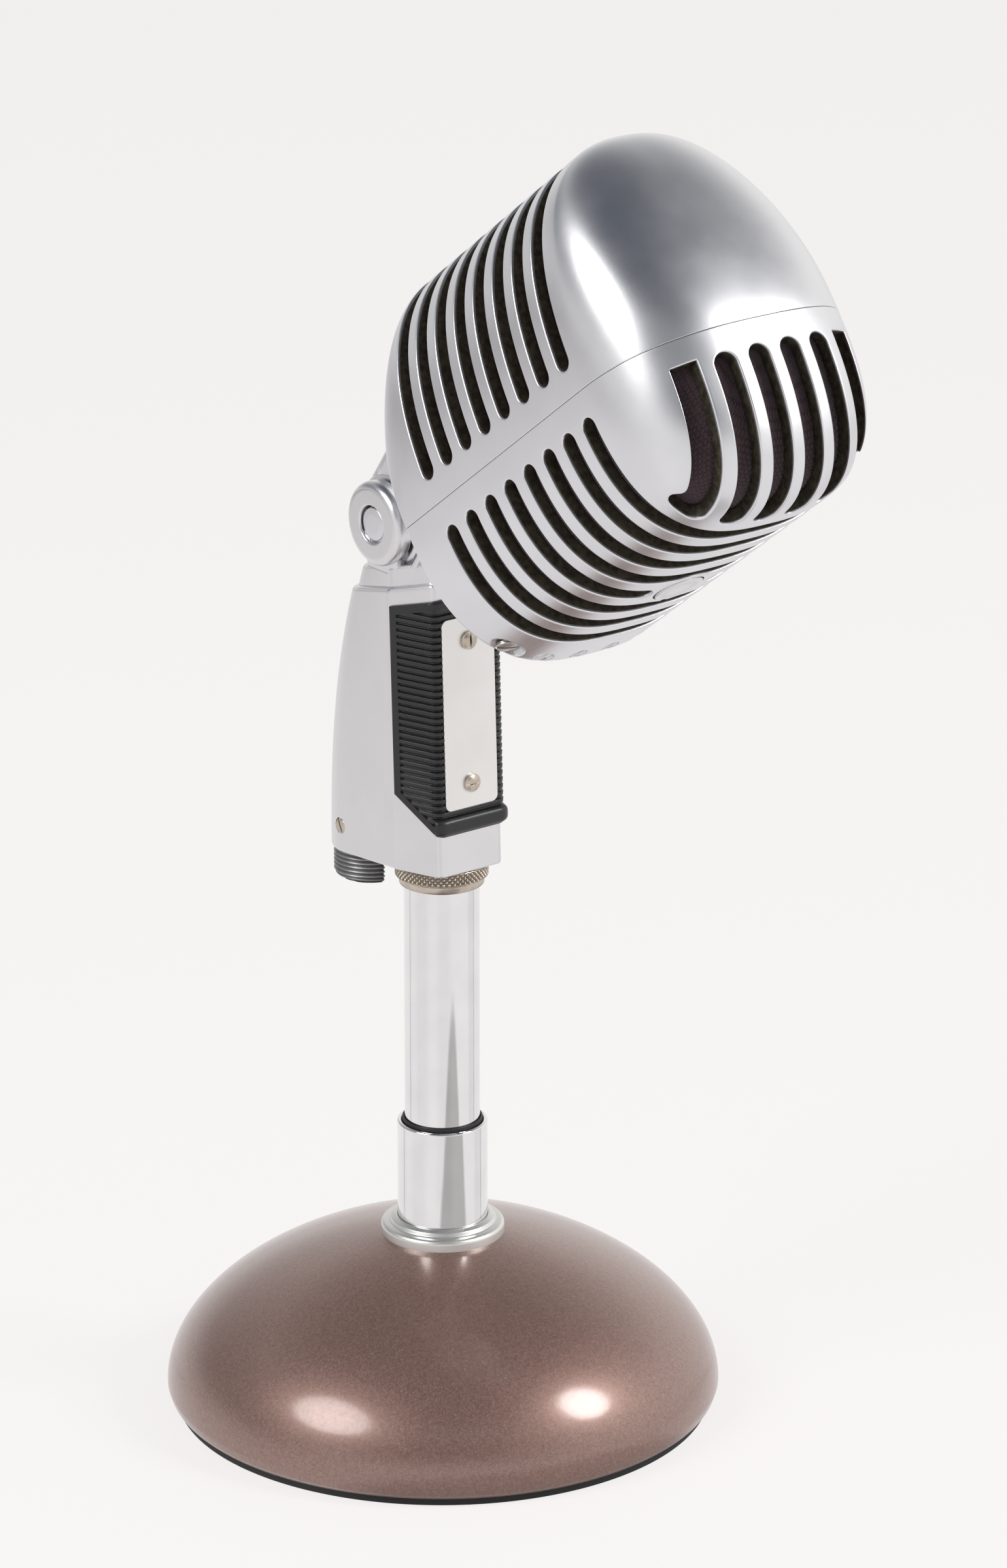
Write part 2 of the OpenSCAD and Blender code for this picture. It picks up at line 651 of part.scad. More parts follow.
// Outlines of the two shells, measured from the seam: front is -Y
front_power = 2.8;
rear_power = 2.4;
function half_at(u) = head_half * min(crown(u, 24.3, 2.58), heel(u, 2.8));
function front_at_u(u) = front_depth * min(crown(u, 20.2, 2.56), heel(u, 4.65));
function rear_at_u(u) = rear_depth * min(crown(u, 19, 1.5), heel(u, 14.5));

// Smallest half size of a section, and the thickness of each level
tip = 3.5;
level_t = 0.1;

// Depth of the front shell's face at x and height u
function face_y(x, u) = front_at_u(u) * pow(1 - pow(abs(x) / half_at(u), front_power), 1 / front_power);

// Half outline at height u, set in by t; toward is -1 for the front shell and 1 for the rear
function outline(u, t, toward, arcs) = let (
    w = max(tip, half_at(u) - t),
    d = max(tip, (toward < 0 ? front_at_u(u) : rear_at_u(u)) - t),
    p = toward < 0 ? front_power : rear_power)
    [for (i = [0:arcs]) let (a = 180 * i / arcs, c = cos(a), s = sin(a))
        [w * sign(c) * pow(abs(c), 2 / p), toward * d * pow(max(0, s), 2 / p)]];

// Solid half of the head, set in by t all over
module head_half_form(t, toward, arcs = 30, levels = 24) hull() for (i = [0:levels]) {
    share = 0.5 - 0.5 * cos(180 * i / levels);
    u = share * head_h;
    translate([0, 0, t + share * (head_h - 2 * t - level_t)]) linear_extrude(level_t)
        polygon(outline(min(u, head_h - 0.05), t, toward, arcs));
}

// Horizontal slot: runs round one shell between rounded ends near the seam
module level_slot(u, toward) {
    r = slot_w / 2;
    translate([-50, toward * (slot_land + r), u]) rotate([0, 90, 0]) cylinder(r = r, h = 100);
    translate([-50, toward > 0 ? slot_land + r : -70, u - r]) cube([100, 70 - slot_land - r, slot_w]);
}

// Slot beside the badge, from a rounded end near it to the one near the seam
module badge_side_slot(side) {
    r = slot_w / 2;
    x = badge_r + 1.8 + r;
    mirror([side < 0 ? 1 : 0, 0, 0]) translate([0, 0, badge_up]) {
        translate([x, -20, 0]) rotate([90, 0, 0]) cylinder(r = r, h = 50);
        translate([x, -slot_land - r, 0]) rotate([0, 90, 0]) cylinder(r = r, h = 50);
        translate([x, -70, -r]) cube([50, 70 - slot_land - r, slot_w]);
    }
}

upright_foot = slot_first + (slot_count - 1) * slot_pitch + slot_w / 2 + 3.4;

// Upright slot: from a rounded end on the crown to a rounded foot on the front
module upright_slot(x) {
    r = upright_w / 2;
    intersection() {
        union() {
            translate([x, -slot_land - r, 0]) cylinder(r = r, h = 120);
            translate([x - r, -70, 0]) cube([upright_w, 70 - slot_land - r, 120]);
        }
        union() {
            translate([x, 0, upright_foot + r]) rotate([90, 0, 0]) cylinder(r = r, h = 70);
            translate([x - r, -70, upright_foot + r]) cube([upright_w, 70, 60]);
        }
    }
}

hook = 2;
// Outer upright slot: square end on the crown, foot hooked outwards
module hooked_slot(x) {
    r = upright_w / 2;
    side = sign(x);
    translate([x - r, -70, upright_foot + r * 0.8]) cube([upright_w, 70 - slot_land, 60]);
    for (k = [0, 1]) translate([x + side * k * hook, 0, upright_foot + r * 0.8]) rotate([90, 0, 0])
        cylinder(r = r * (1 - 0.2 * k), h = 70);
}

// Places children on the chin, +Z pointing out of the face
module chin_at(x) translate([x, -face_y(x, chin_up), chin_up]) rotate([90, 0, 0]) children();

module front_shell() color([0.78, 0.78, 0.8]) in_head() difference() {
    head_half_form(0, -1);
    head_half_form(shell_wall, -1);
    translate([-50, -0.05, -cut]) cube([100, 20, head_h + 2 * cut]);
    for (i = [0:slot_count - 1]) if (i != badge_slot) difference() {
        level_slot(slot_first + i * slot_pitch, -1);
        if (abs(i - badge_slot) == 1) translate([0, -20, badge_up]) rotate([90, 0, 0])
            cylinder(r = badge_r + 1.3, h = 50);
    }
    for (side = [-1, 1]) badge_side_slot(side);
    for (i = [1:upright_count - 2]) upright_slot((i - (upright_count - 1) / 2) * slot_pitch);
    for (side = [-1, 1]) hooked_slot(side * (upright_count - 1) / 2 * slot_pitch);
    for (side = [-1, 1]) chin_at(side * chin_x) {
        translate([0, 0, -front_depth - cut]) cylinder(r = chin_screw_r + 0.1, h = front_depth + 30);
        translate([0, 0, -chin_sink]) cylinder(r = chin_head_r + 0.2, h = 30);
    }
    for (k = [-1.5:1:1.5]) chin_at(k * dimple_pitch) translate([0, 0, -dimple_deep])
        cylinder(r = dimple_r, h = 30);
    translate([0, -front_depth + badge_t - 0.2, badge_up]) rotate([90, 0, 0])
        cylinder(r = badge_r + 0.15, h = 30);
    neck_room();
}

// Room that the shells leave for the neck's top
module neck_room() translate([0, seam_y, -head_rise]) neck_top(0);

module rear_shell() color([0.78, 0.78, 0.8]) in_head() difference() {
    head_half_form(0, 1);
    head_half_form(shell_wall, 1);
    translate([-50, -20, -cut]) cube([100, 20.05, head_h + 2 * cut]);
    for (i = [0:slot_count - 1]) level_slot(slot_first + i * slot_pitch, 1);
    neck_room();
}

// Plain block that the neck ends in, between the shells' walls
module neck_top(grow) translate([-neck_half - grow, -seam_y + 2 - grow, head_rise - cut])
    cube([2 * neck_half + 2 * grow, neck_deep + 2 * grow, shell_wall + cut + 1]);

skirt_h = 7;
neck_half = 8;
neck_deep = 22;

// Knuckle between the ears, with the neck that carries the head
module head_knuckle() color([0.76, 0.76, 0.77]) at_head() difference() {
    union() {
        rotate([0, 90, 0]) translate([0, 0, -knuckle_half]) cylinder(r = knuckle_r, h = 2 * knuckle_half);
        hull() {
            translate([-knuckle_half, -7.5, 0]) cube([2 * knuckle_half, 18.6, 1]);
            translate([-knuckle_half, -7.5, 10]) cube([2 * knuckle_half, 22.5, 1]);
        }
        hull() {
            translate([-knuckle_half, -7.5, 10.9]) cube([2 * knuckle_half, 22.6, 0.1]);
            translate([-neck_half - 1, -seam_y + 3, head_rise - 0.6])
                cube([2 * neck_half + 2, neck_deep + 6, 0.6]);
        }
        neck_top(-0.02);
    }
    rotate([0, 90, 0]) translate([0, 0, -20]) cylinder(r = pin_r + fit, h = 40);
    translate([0, -seam_y, head_rise - 6]) neck_screw_at() cylinder(r = screw_r, h = 20);
}

// Places children on the axes of the screws that hold the bracket and shells to the neck
module neck_screw_at() for (x = [-neck_screw_x, neck_screw_x]) translate([x, neck_screw_y, 0]) children();

module neck_screws() color([0.66, 0.64, 0.58]) in_head() neck_screw_at() translate([0, 0, shell_wall + 1]) {
    translate([0, 0, -6]) cylinder(r = screw_r, h = 6.1);
    difference() {
        cylinder(r = screw_head_r, h = 1.5);
        translate([-3, -0.3, 0.8]) cube([6, 0.6, 2]);
    }
}

cloth_foot = slot_first - slot_w / 2 - 1.2;

// Woven lining of the front shell, up to the seam over the crown
module front_cloth() color([0.3, 0.22, 0.24]) in_head() difference() {
    head_half_form(shell_wall + clear, -1, 18, 12);
    head_half_form(shell_wall + clear + cloth_t, -1, 18, 12);
    translate([-50, -0.3, -cut]) cube([100, 20, head_h + 2 * cut]);
    translate([-50, -50, -cut]) cube([100, 120, cloth_foot + cut]);
}

// Woven lining of the rear shell, as high as its slots
module rear_cloth() color([0.3, 0.22, 0.24]) in_head() translate([0, 0, cloth_foot])
    linear_extrude((slot_count - 1) * slot_pitch + slot_w + 4) difference() {
        polygon(outline(cloth_foot - 2, shell_wall + clear, 1, 30));
        polygon(outline(cloth_foot - 2, shell_wall + clear + cloth_t, 1, 30));
        translate([-50, -20]) square([100, 20.3]);
    }

// Blank round badge, sunk into its land among the front ribs
module badge() color([0.75, 0.75, 0.77]) in_head() translate([0, -front_depth + badge_t - 0.2, badge_up])
    rotate([90, 0, 0]) cylinder(r = badge_r, h = badge_t);

// Two slotted screws in the chin that draw the shells together
module chin_screws() color([0.6, 0.58, 0.52]) in_head() for (side = [-1, 1]) chin_at(side * chin_x) {
    translate([0, 0, -chin_len]) cylinder(r = chin_screw_r, h = chin_len - chin_sink + 0.1);
    translate([0, 0, -chin_sink]) difference() {
        cylinder(r = chin_head_r, h = 1.2);
        translate([-3, -0.35, 0.7]) cube([6, 0.7, 2]);
    }
}

// Sizes of the capsule: cup, wall, magnet and the height of its middle in the head
cap_r = 18;
cap_up = 46;
cap_wall = 2.5;
cup_foot = -16;
cup_h = 22;
cup_floor = 3;
magnet_r = 8;
pole_r = 7;
bracket_w = 18;
bracket_t = 1.5;
bracket_y = 0.02 - cup_foot;
bracket_in = 4;
screw_r = 1.25;
screw_head_r = 2.2;
bracket_screw_x = 5;
bracket_screw_z = -8;
rubber_t = 2.5;
neck_top_z = shell_wall + 1.02;
neck_screw_x = 5;
neck_screw_y = 12;
// The capsule's own frame: +Z points to the front of the head, from its middle
module at_capsule() in_head() translate([0, 0, cap_up]) rotate([90, 0, 0]) children();

// Bent plate that hangs the capsule over the neck
module cartridge_bracket() color([0.62, 0.62, 0.6]) in_head() difference() {
    union() {
        translate([-bracket_w / 2, bracket_in, neck_top_z])
            cube([bracket_w, bracket_y - bracket_in + bracket_t, bracket_t]);
        translate([-bracket_w / 2, bracket_y, neck_top_z]) cube([bracket_w, bracket_t, cap_up - shell_wall]);
    }
    neck_screw_at() cylinder(r = screw_head_r + 0.8, h = neck_top_z + bracket_t + cut);
    bracket_screw_at() translate([0, 0, -bracket_y - bracket_t - cut]) cylinder(r = screw_r, h = 10);
}

// Places children on the axes of the bracket's screws, in the capsule's frame
module bracket_screw_at() translate([0, 0, cap_up]) rotate([90, 0, 0])
    for (x = [-bracket_screw_x, bracket_screw_x]) translate([x, bracket_screw_z, 0]) children();

module bracket_screws() color([0.66, 0.64, 0.58]) in_head() bracket_screw_at() {
    translate([0, 0, -bracket_y - bracket_t - 0.02]) cylinder(r = screw_r, h = bracket_t + cup_floor - 0.3);
    translate([0, 0, -bracket_y - bracket_t - 1.32]) cylinder(r = screw_head_r, h = 1.3);
}

module rubber_mount() color([0.1, 0.1, 0.1]) at_capsule() difference() {
    tube(cap_r + rubber_t, cap_r, -9, -3);
    translate([0, 0, -20]) for (a = [0, 120, 240]) rotate([0, 0, a + 30])
        translate([cap_r + rubber_t, 0, 0]) cylinder(r = 1, h = 30);
}

// Steel cup that holds the magnet and closes the magnetic path
module cartridge_cup() color([0.45, 0.45, 0.47]) in_head() difference() {
    translate([0, 0, cap_up]) rotate([90, 0, 0]) difference() {
        translate([0, 0, cup_foot]) cylinder(r = cap_r, h = cup_h);
        translate([0, 0, cup_foot + cup_floor]) cylinder(r = cap_r - cap_wall, h = cup_h);
    }
    bracket_screw_at() translate([0, 0, cup_foot - 4]) cylinder(r = screw_r, h = cup_floor + 6);
}

module magnet() color([0.35, 0.35, 0.36]) at_capsule()
    translate([0, 0, cup_foot + cup_floor]) cylinder(r = magnet_r, h = -cup_foot - cup_floor);

module pole_piece() color([0.5, 0.5, 0.5]) at_capsule() {
    cylinder(r = pole_r, h = 4);
    tube(cap_r - cap_wall, pole_r + 1.4, 1, 4);
}

module voice_coil() color([0.7, 0.4, 0.15]) at_capsule() tube(8, 7.4, 1, 6.6);

// Thin dome with a flat rim, carried on the cup
module diaphragm() color([0.75, 0.72, 0.6]) at_capsule() {
    translate([0, 0, 7]) difference() {
        intersection() {
            translate([0, 0, -10]) sphere(r = 13);
            cylinder(r = 8, h = 5);
        }
        intersection() {
            translate([0, 0, -10]) sphere(r = 12.7);
            translate([0, 0, -1]) cylinder(r = 7.6, h = 6);
        }
    }
    tube(cap_r - 2.5, 7.9, 6.6, 7);
    tube(cap_r, cap_r - 2.5, 6, 7);
}

// Perforated cap in front of the diaphragm
module resonator_cap() color([0.55, 0.55, 0.5]) at_capsule() difference() {
    translate([0, 0, 7]) cylinder(r = cap_r, h = 6);
    translate([0, 0, 6]) cylinder(r = cap_r - 2.5, h = 5.5);
    for (ring = [1, 2], i = [0:6 * ring - 1]) rotate([0, 0, 60 * i / ring])
        translate([5 * ring, 0, 0]) cylinder(r = 1.4, h = 20);
}

base_casting();
base_pad();
base_ballast();
flange_ring();
sleeve();
sleeve_liner();
sleeve_plug();
base_washer();
base_nut();
stand_tube();
tube_stop();
thread_spigot();
lock_ring();
mount_housing();
thread_bushing();
insert_panel();
nameplate();
nameplate_screws();
connector_shell();
connector_insulator();
connector_pins();
connector_set_screw();
selector_knob();
selector_wafer();
transformer_core();
transformer_winding();
transformer_clip();
swivel_fork();
fork_skirt();
fork_screws();
tilt_pin();
tilt_nut();
pin_caps();
friction_washers();
head_knuckle();
neck_screws();
front_shell();
rear_shell();
front_cloth();
rear_cloth();
badge();
chin_screws();
cartridge_bracket();
bracket_screws();
rubber_mount();
cartridge_cup();
magnet();
pole_piece();
voice_coil();
diaphragm();
resonator_cap();
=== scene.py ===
# Desk microphone on a domed base. Shapes are worked out in millimetres and turned to metres in finishPiece.
import json
import math
import bpy
import numpy as np
from mathutils import Matrix, Vector

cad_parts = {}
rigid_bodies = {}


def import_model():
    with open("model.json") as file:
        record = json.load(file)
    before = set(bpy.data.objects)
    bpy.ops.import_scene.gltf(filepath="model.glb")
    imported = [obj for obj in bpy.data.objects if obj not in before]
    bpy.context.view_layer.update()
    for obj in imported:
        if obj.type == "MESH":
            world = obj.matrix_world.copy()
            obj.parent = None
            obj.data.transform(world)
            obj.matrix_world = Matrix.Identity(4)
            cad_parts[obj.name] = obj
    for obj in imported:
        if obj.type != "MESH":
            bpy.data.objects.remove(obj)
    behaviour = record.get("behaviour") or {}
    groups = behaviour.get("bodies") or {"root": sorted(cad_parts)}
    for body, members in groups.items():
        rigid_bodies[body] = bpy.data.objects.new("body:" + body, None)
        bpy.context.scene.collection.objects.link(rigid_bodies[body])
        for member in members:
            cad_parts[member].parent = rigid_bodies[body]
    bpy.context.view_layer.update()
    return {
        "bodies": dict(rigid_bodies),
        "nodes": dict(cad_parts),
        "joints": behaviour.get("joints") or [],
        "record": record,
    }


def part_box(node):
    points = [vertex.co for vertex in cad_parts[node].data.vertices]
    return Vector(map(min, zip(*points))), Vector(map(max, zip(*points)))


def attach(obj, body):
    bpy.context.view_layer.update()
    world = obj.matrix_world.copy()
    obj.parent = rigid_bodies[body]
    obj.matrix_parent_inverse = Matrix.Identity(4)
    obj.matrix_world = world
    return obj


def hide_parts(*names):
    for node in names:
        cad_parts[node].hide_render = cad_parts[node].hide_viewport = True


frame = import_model()
mm = 0.001
pi = math.pi
print("frame loaded,", len(frame["nodes"]), "nodes")


def lowest(node):
    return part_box(node)[0] / mm


def highest(node):
    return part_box(node)[1] / mm


# Places come from the frame: the mount's foot and the axis that the head tilts on
record = frame["record"]
joints = {joint["name"]: joint for joint in record["behaviour"]["joints"]}
bodies = {node: body for body, nodes in record["behaviour"]["bodies"].items() for node in nodes}
slots = {part["node"]: part["material_slot"] for part in record["subparts"]}
pivot = Vector(joints["head_tilt"]["pos_m"]) / mm
mountFoot = lowest("thread_bushing").z
headTilt = math.radians(53.2)
onStand = Matrix.Identity(4)
onMount = Matrix.Translation((0, 0, mountFoot))
inHead = Matrix.Translation(pivot) @ Matrix.Rotation(headTilt, 4, "X") @ Matrix.Translation((0, -11.6, 30.9))


# Mesh helpers
def unit(v):
    return v / np.maximum(np.linalg.norm(v, axis=-1, keepdims=True), 1e-12)


class Shape:  # points, faces and the depth below the outer skin, gathered before a mesh is made
    def __init__(self):
        self.points = []
        self.depths = []
        self.faces = []
        self.count = 0

    def add(self, points, depth=0.0):
        points = np.asarray(points, float).reshape(-1, 3)
        start = self.count
        self.points.append(points)
        self.depths.append(np.broadcast_to(np.asarray(depth, float), (len(points),)))
        self.count += len(points)
        return start

    def face(self, faces):
        faces = np.asarray(faces, int)
        if faces.size:
            self.faces.append(faces)

    def join(self, other, place=None):
        points = np.concatenate(other.points)
        if place is not None:
            points = moved(points, place)
        start = self.add(points, np.concatenate(other.depths))
        for faces in other.faces:
            self.face(faces + start)
        return self


def moved(points, place):
    m = np.array(place)
    return points @ m[:3, :3].T + m[:3, 3]


def turned(faces, points):
    # faces all round, so that the volume inside comes out positive
    volume = 0
    for f in faces:
        a = points[f[:, 0]]
        for k in range(1, f.shape[1] - 1):
            volume += np.einsum("ij,ij->i", a, np.cross(points[f[:, k]], points[f[:, k + 1]])).sum()
    return faces if volume > 0 else [f[:, ::-1] for f in faces]


def softNormals(points, faces):
    # normals at the points, weighted by the faces' areas, so that large flat faces
    # stay flat beside small roundings
    total = np.zeros_like(points)
    for f in faces:
        if f.shape[1] == 4:
            n = np.cross(points[f[:, 2]] - points[f[:, 0]], points[f[:, 3]] - points[f[:, 1]])
        else:
            n = np.cross(points[f[:, 1]] - points[f[:, 0]], points[f[:, 2]] - points[f[:, 0]])
        for k in range(f.shape[1]):
            for axis in range(3):
                total[:, axis] += np.bincount(f[:, k], n[:, axis], len(points))
    return unit(total)


def finishPiece(name, shape, place, finish=None, weave=None):
    # the drawn piece of the solid with the same first name, on its body and in its slot
    node = name.split(".")[0]
    body, slot = bodies[node], slots[node]
    points = moved(np.concatenate(shape.points), place)
    depth = np.concatenate(shape.depths)
    used = np.zeros(len(points), bool)
    for f in shape.faces:
        used[f.ravel()] = True
    renumber = np.cumsum(used) - 1
    faces = [renumber[f] for f in shape.faces]
    points = points[used]
    middle = points.mean(axis=0)
    faces = turned(faces, points - middle)
    normals = softNormals(points, faces)
    mesh = bpy.data.meshes.new(name)
    mesh.vertices.add(len(points))
    mesh.vertices.foreach_set("co", (points * mm).ravel())
    loops = np.concatenate([f.ravel() for f in faces])
    sizes = np.concatenate([np.full(len(f), f.shape[1]) for f in faces])
    mesh.loops.add(len(loops))
    mesh.loops.foreach_set("vertex_index", loops)
    mesh.polygons.add(len(sizes))
    mesh.polygons.foreach_set("loop_start", np.concatenate([[0], np.cumsum(sizes)[:-1]]))
    mesh.attributes.new("depth", "FLOAT", "POINT").data.foreach_set("value", depth[used])
    if weave is not None:
        mesh.attributes.new("weave", "FLOAT_VECTOR", "POINT").data.foreach_set("vector", weave[used].ravel())
    mesh.update(calc_edges=True)
    mesh.shade_smooth()
    mesh.normals_split_custom_set_from_vertices(normals)
    mesh.materials.append(paints[finish or slot])
    piece = bpy.data.objects.new(name, mesh)
    bpy.context.scene.collection.objects.link(piece)
    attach(piece, body)
    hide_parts(node)
    print("made", name, len(sizes), "faces")
    return piece


def rounded(path, radii, steps=5, ring=False):
    # the path with its corners rounded; a number for all corners or one for each
    path = [np.array(p, float) for p in path]
    out = []
    for i, corner in enumerate(path):
        radius = radii if np.isscalar(radii) else radii[i]
        if radius == 0 or (not ring and i in (0, len(path) - 1)):
            out.append(corner)
            continue
        before = path[i - 1] - corner
        after = path[(i + 1) % len(path)] - corner
        room = 0.48 * min(np.linalg.norm(before), np.linalg.norm(after))
        before = unit(before)
        after = unit(after)
        half = 0.5 * math.acos(float(np.clip(before @ after, -1, 1)))
        if pi / 2 - half < 0.01:
            out += [corner] * (steps + 1)
            continue
        run = min(radius / math.tan(half), room)
        actual = run * math.tan(half)
        centre = corner + unit(before + after) * actual / math.sin(half)
        a = corner + before * run - centre
        b = corner + after * run - centre
        turn = pi - 2 * half
        for k in range(steps + 1):
            t = k / steps
            out.append(centre + (a * math.sin((1 - t) * turn) + b * math.sin(t * turn)) / math.sin(turn))
    return np.array(out)


def roundedPlan(low, high, corner, steps):
    # closed four-sided outline with round corners, between two opposite corners
    return rounded([low, (high[0], low[1]), high, (low[0], high[1])], corner, steps, True)


def aboutAxis(radius, angles, height):
    # rows of points at those radii and heights, turned about Z
    x = radius * np.cos(angles)
    return np.stack([x, radius * np.sin(angles), np.broadcast_to(height, x.shape)], axis=2)


def gridFaces(rows, cols, start=0, wrapRows=False, wrapCols=False):
    i = np.arange(rows if wrapRows else rows - 1)[:, None]
    j = np.arange(cols if wrapCols else cols - 1)[None, :]
    nextI = (i + 1) % rows
    nextJ = (j + 1) % cols
    quads = [i * cols + j, i * cols + nextJ, nextI * cols + nextJ, nextI * cols + j]
    return start + np.stack([np.broadcast_to(q, (i.size, j.size)).ravel() for q in quads], axis=1)


def lathe(profile, turns=192, ring=False):
    # turns (radius, height) pairs about Z; the ends of an open profile stand on the axis
    shape = Shape()
    profile = np.asarray(profile, float)
    inner = profile if ring else profile[1:-1]
    angles = np.arange(turns) * 2 * pi / turns
    start = shape.add(aboutAxis(inner[:, :1], angles, inner[:, 1:]))
    shape.face(gridFaces(len(inner), turns, start, wrapRows=ring, wrapCols=True))
    if not ring:
        first = shape.add([[0, 0, profile[0, 1]]])
        last = shape.add([[0, 0, profile[-1, 1]]])
        j = np.arange(turns)
        nextJ = (j + 1) % turns
        shape.face(np.stack([np.full(turns, first), nextJ, j], axis=1))
        foot = start + (len(inner) - 1) * turns
        shape.face(np.stack([np.full(turns, last), foot + j, foot + nextJ], axis=1))
    return shape


def disc(radius, start, end, edges=0, steps=5, turns=192):
    # a solid turned about Z, from one height to another
    return lathe(rounded([(0, start), (radius, start), (radius, end), (0, end)], edges, steps), turns)


def pipe(low, high, inner, outer, edge, steps, turns):
    # a plain tube with rounded ends, between two heights
    return lathe(roundedPlan((inner, low), (outer, high), edge, steps), turns, True)


def gridNormals(grid, inside):
    rows, cols = grid.shape[:2]
    faces = gridFaces(rows, cols)
    normals = softNormals(grid.reshape(-1, 3), [faces]).reshape(grid.shape)
    outwards = np.einsum("ijk,ijk->ij", normals, grid - np.asarray(inside, float)).sum() > 0
    return normals if outwards else -normals


def carve(shape, grid, openings, thick, inside, rim=(), roundSteps=5):
    # cuts openings through a skin of that thickness, with rounded edges and walls down to its inner side
    rows, cols = grid.shape[:2]
    flat = grid.reshape(-1, 3)
    normals = gridNormals(grid, inside)
    flatNormals = normals.reshape(-1, 3)

    def gaps(points):
        return np.stack([o["gap"](points) - o.get("edge", 0.5) for o in openings])

    def least(points):
        return gaps(points).min(axis=0)

    keep = (least(flat) > 0).reshape(rows, cols)
    index = np.arange(rows * cols).reshape(rows, cols)
    acrossCut = keep[:, :-1] != keep[:, 1:]
    downCut = keep[:-1] != keep[1:]
    fromPoint = np.concatenate([index[:, :-1][acrossCut], index[:-1][downCut]])
    toPoint = np.concatenate([index[:, 1:][acrossCut], index[1:][downCut]])
    a = flat[fromPoint]
    b = flat[toPoint]
    low = np.zeros(len(a))
    high = np.ones(len(a))
    startSign = least(a) > 0
    for _ in range(14):
        middle = (low + high) / 2
        same = (least(a + (b - a) * middle[:, None]) > 0) == startSign
        low = np.where(same, middle, low)
        high = np.where(same, high, middle)
    share = ((low + high) / 2)[:, None]
    rimPoints = a + (b - a) * share
    rimNormals = unit(flatNormals[fromPoint] * (1 - share) + flatNormals[toPoint] * share)
    acrossId = np.full((rows, cols), -1)
    downId = np.full((rows, cols), -1)
    acrossId[:, :-1][acrossCut] = np.arange(acrossCut.sum())
    downId[:-1][downCut] = acrossCut.sum() + np.arange(downCut.sum())

    # the opening that each rim point belongs to, and the directions away from it and down its wall
    which = gaps(rimPoints).argmin(axis=0)
    picked = np.arange(len(rimPoints))
    slope = np.zeros_like(rimPoints)
    for axis in range(3):
        step = np.zeros(3)
        step[axis] = 0.01
        ahead = gaps(rimPoints + step)[which, picked]
        slope[:, axis] = ahead - gaps(rimPoints - step)[which, picked]
    slope = unit(slope)
    away = unit(slope - np.einsum("ij,ij->i", slope, rimNormals)[:, None] * rimNormals)
    edge = np.array([o.get("edge", 0.5) for o in openings])[which][:, None]
    blind = np.array(["floor" in o for o in openings])[which]
    painted = np.array([float(o.get("painted", "floor" not in o)) for o in openings])[which]
    inwards = -unit(rimNormals - np.einsum("ij,ij->i", slope, rimNormals)[:, None] * slope)
    reach = np.full((len(rimPoints), 1), float(thick))
    for k, o in enumerate(openings):
        if "floor" in o:
            mine = which == k
            drill = np.array(o["drill"], float)
            inwards[mine] = drill
            inner = rimPoints[mine] - away[mine] * edge[mine]
            reach[mine] = ((np.array(o["floor"], float) - inner) @ drill)[:, None]

    skin = shape.add(flat)
    lining = shape.add(flat - flatNormals * thick, thick)
    rimStart = shape.add(rimPoints)
    wallFoot = np.where(blind[:, None], -rimNormals * thick, inwards * thick)
    rimInner = shape.add(rimPoints - away * edge * ~blind[:, None] + wallFoot, thick)
    rings = [rimStart]
    for k in range(1, roundSteps + 1):
        t = k * pi / 2 / roundSteps
        rings.append(shape.add(rimPoints - away * edge * math.sin(t) + inwards * edge * (1 - math.cos(t)),
                               (edge * (1 - math.cos(t))).ravel() * 0.5 * painted))
    foot = np.array([o.get("foot", 0.25) for o in openings])[which][:, None]
    wallEnd = np.where(blind[:, None], np.maximum(reach - foot, edge), edge + 0.35)
    rings.append(shape.add(rimPoints - away * edge + inwards * wallEnd, wallEnd.ravel() * painted))
    blindRings = [rings[-1]]
    for k in range(1, 4):
        t = k * pi / 6
        blindRings.append(shape.add(rimPoints - away * (edge + foot * (1 - math.cos(t)))
                                    + inwards * (wallEnd + foot * math.sin(t)), reach.ravel() * painted))
    centres = {}
    for k, o in enumerate(openings):
        if "floor" in o:
            middle = np.array(o["floor"], float)
            centres[k] = (shape.add([middle], float(o.get("painted", False))),
                          shape.add([middle + np.array(o["drill"]) * thick], thick))

    whole = keep[:-1, :-1] & keep[:-1, 1:] & keep[1:, 1:] & keep[1:, :-1]
    some = (keep[:-1, :-1] | keep[:-1, 1:] | keep[1:, 1:] | keep[1:, :-1]) & ~whole
    i, j = np.nonzero(whole)
    quads = np.stack([index[i, j], index[i, j + 1], index[i + 1, j + 1], index[i + 1, j]], axis=1)
    shape.face(skin + quads)
    shape.face(lining + quads[:, ::-1])
    triangles = []
    walls = []
    for i, j in zip(*np.nonzero(some)):
        corners = ((i, j), (i, j + 1), (i + 1, j + 1), (i + 1, j))
        cuts = (acrossId[i, j], downId[i, j + 1], acrossId[i + 1, j], downId[i, j])
        outline = []
        order = []
        for k in range(4):
            here = keep[corners[k]]
            if here:
                outline.append((skin + index[corners[k]], lining + index[corners[k]]))
            if here != keep[corners[(k + 1) % 4]]:
                outline.append((rimStart + cuts[k], rimInner + cuts[k]))
                order.append((here, cuts[k]))
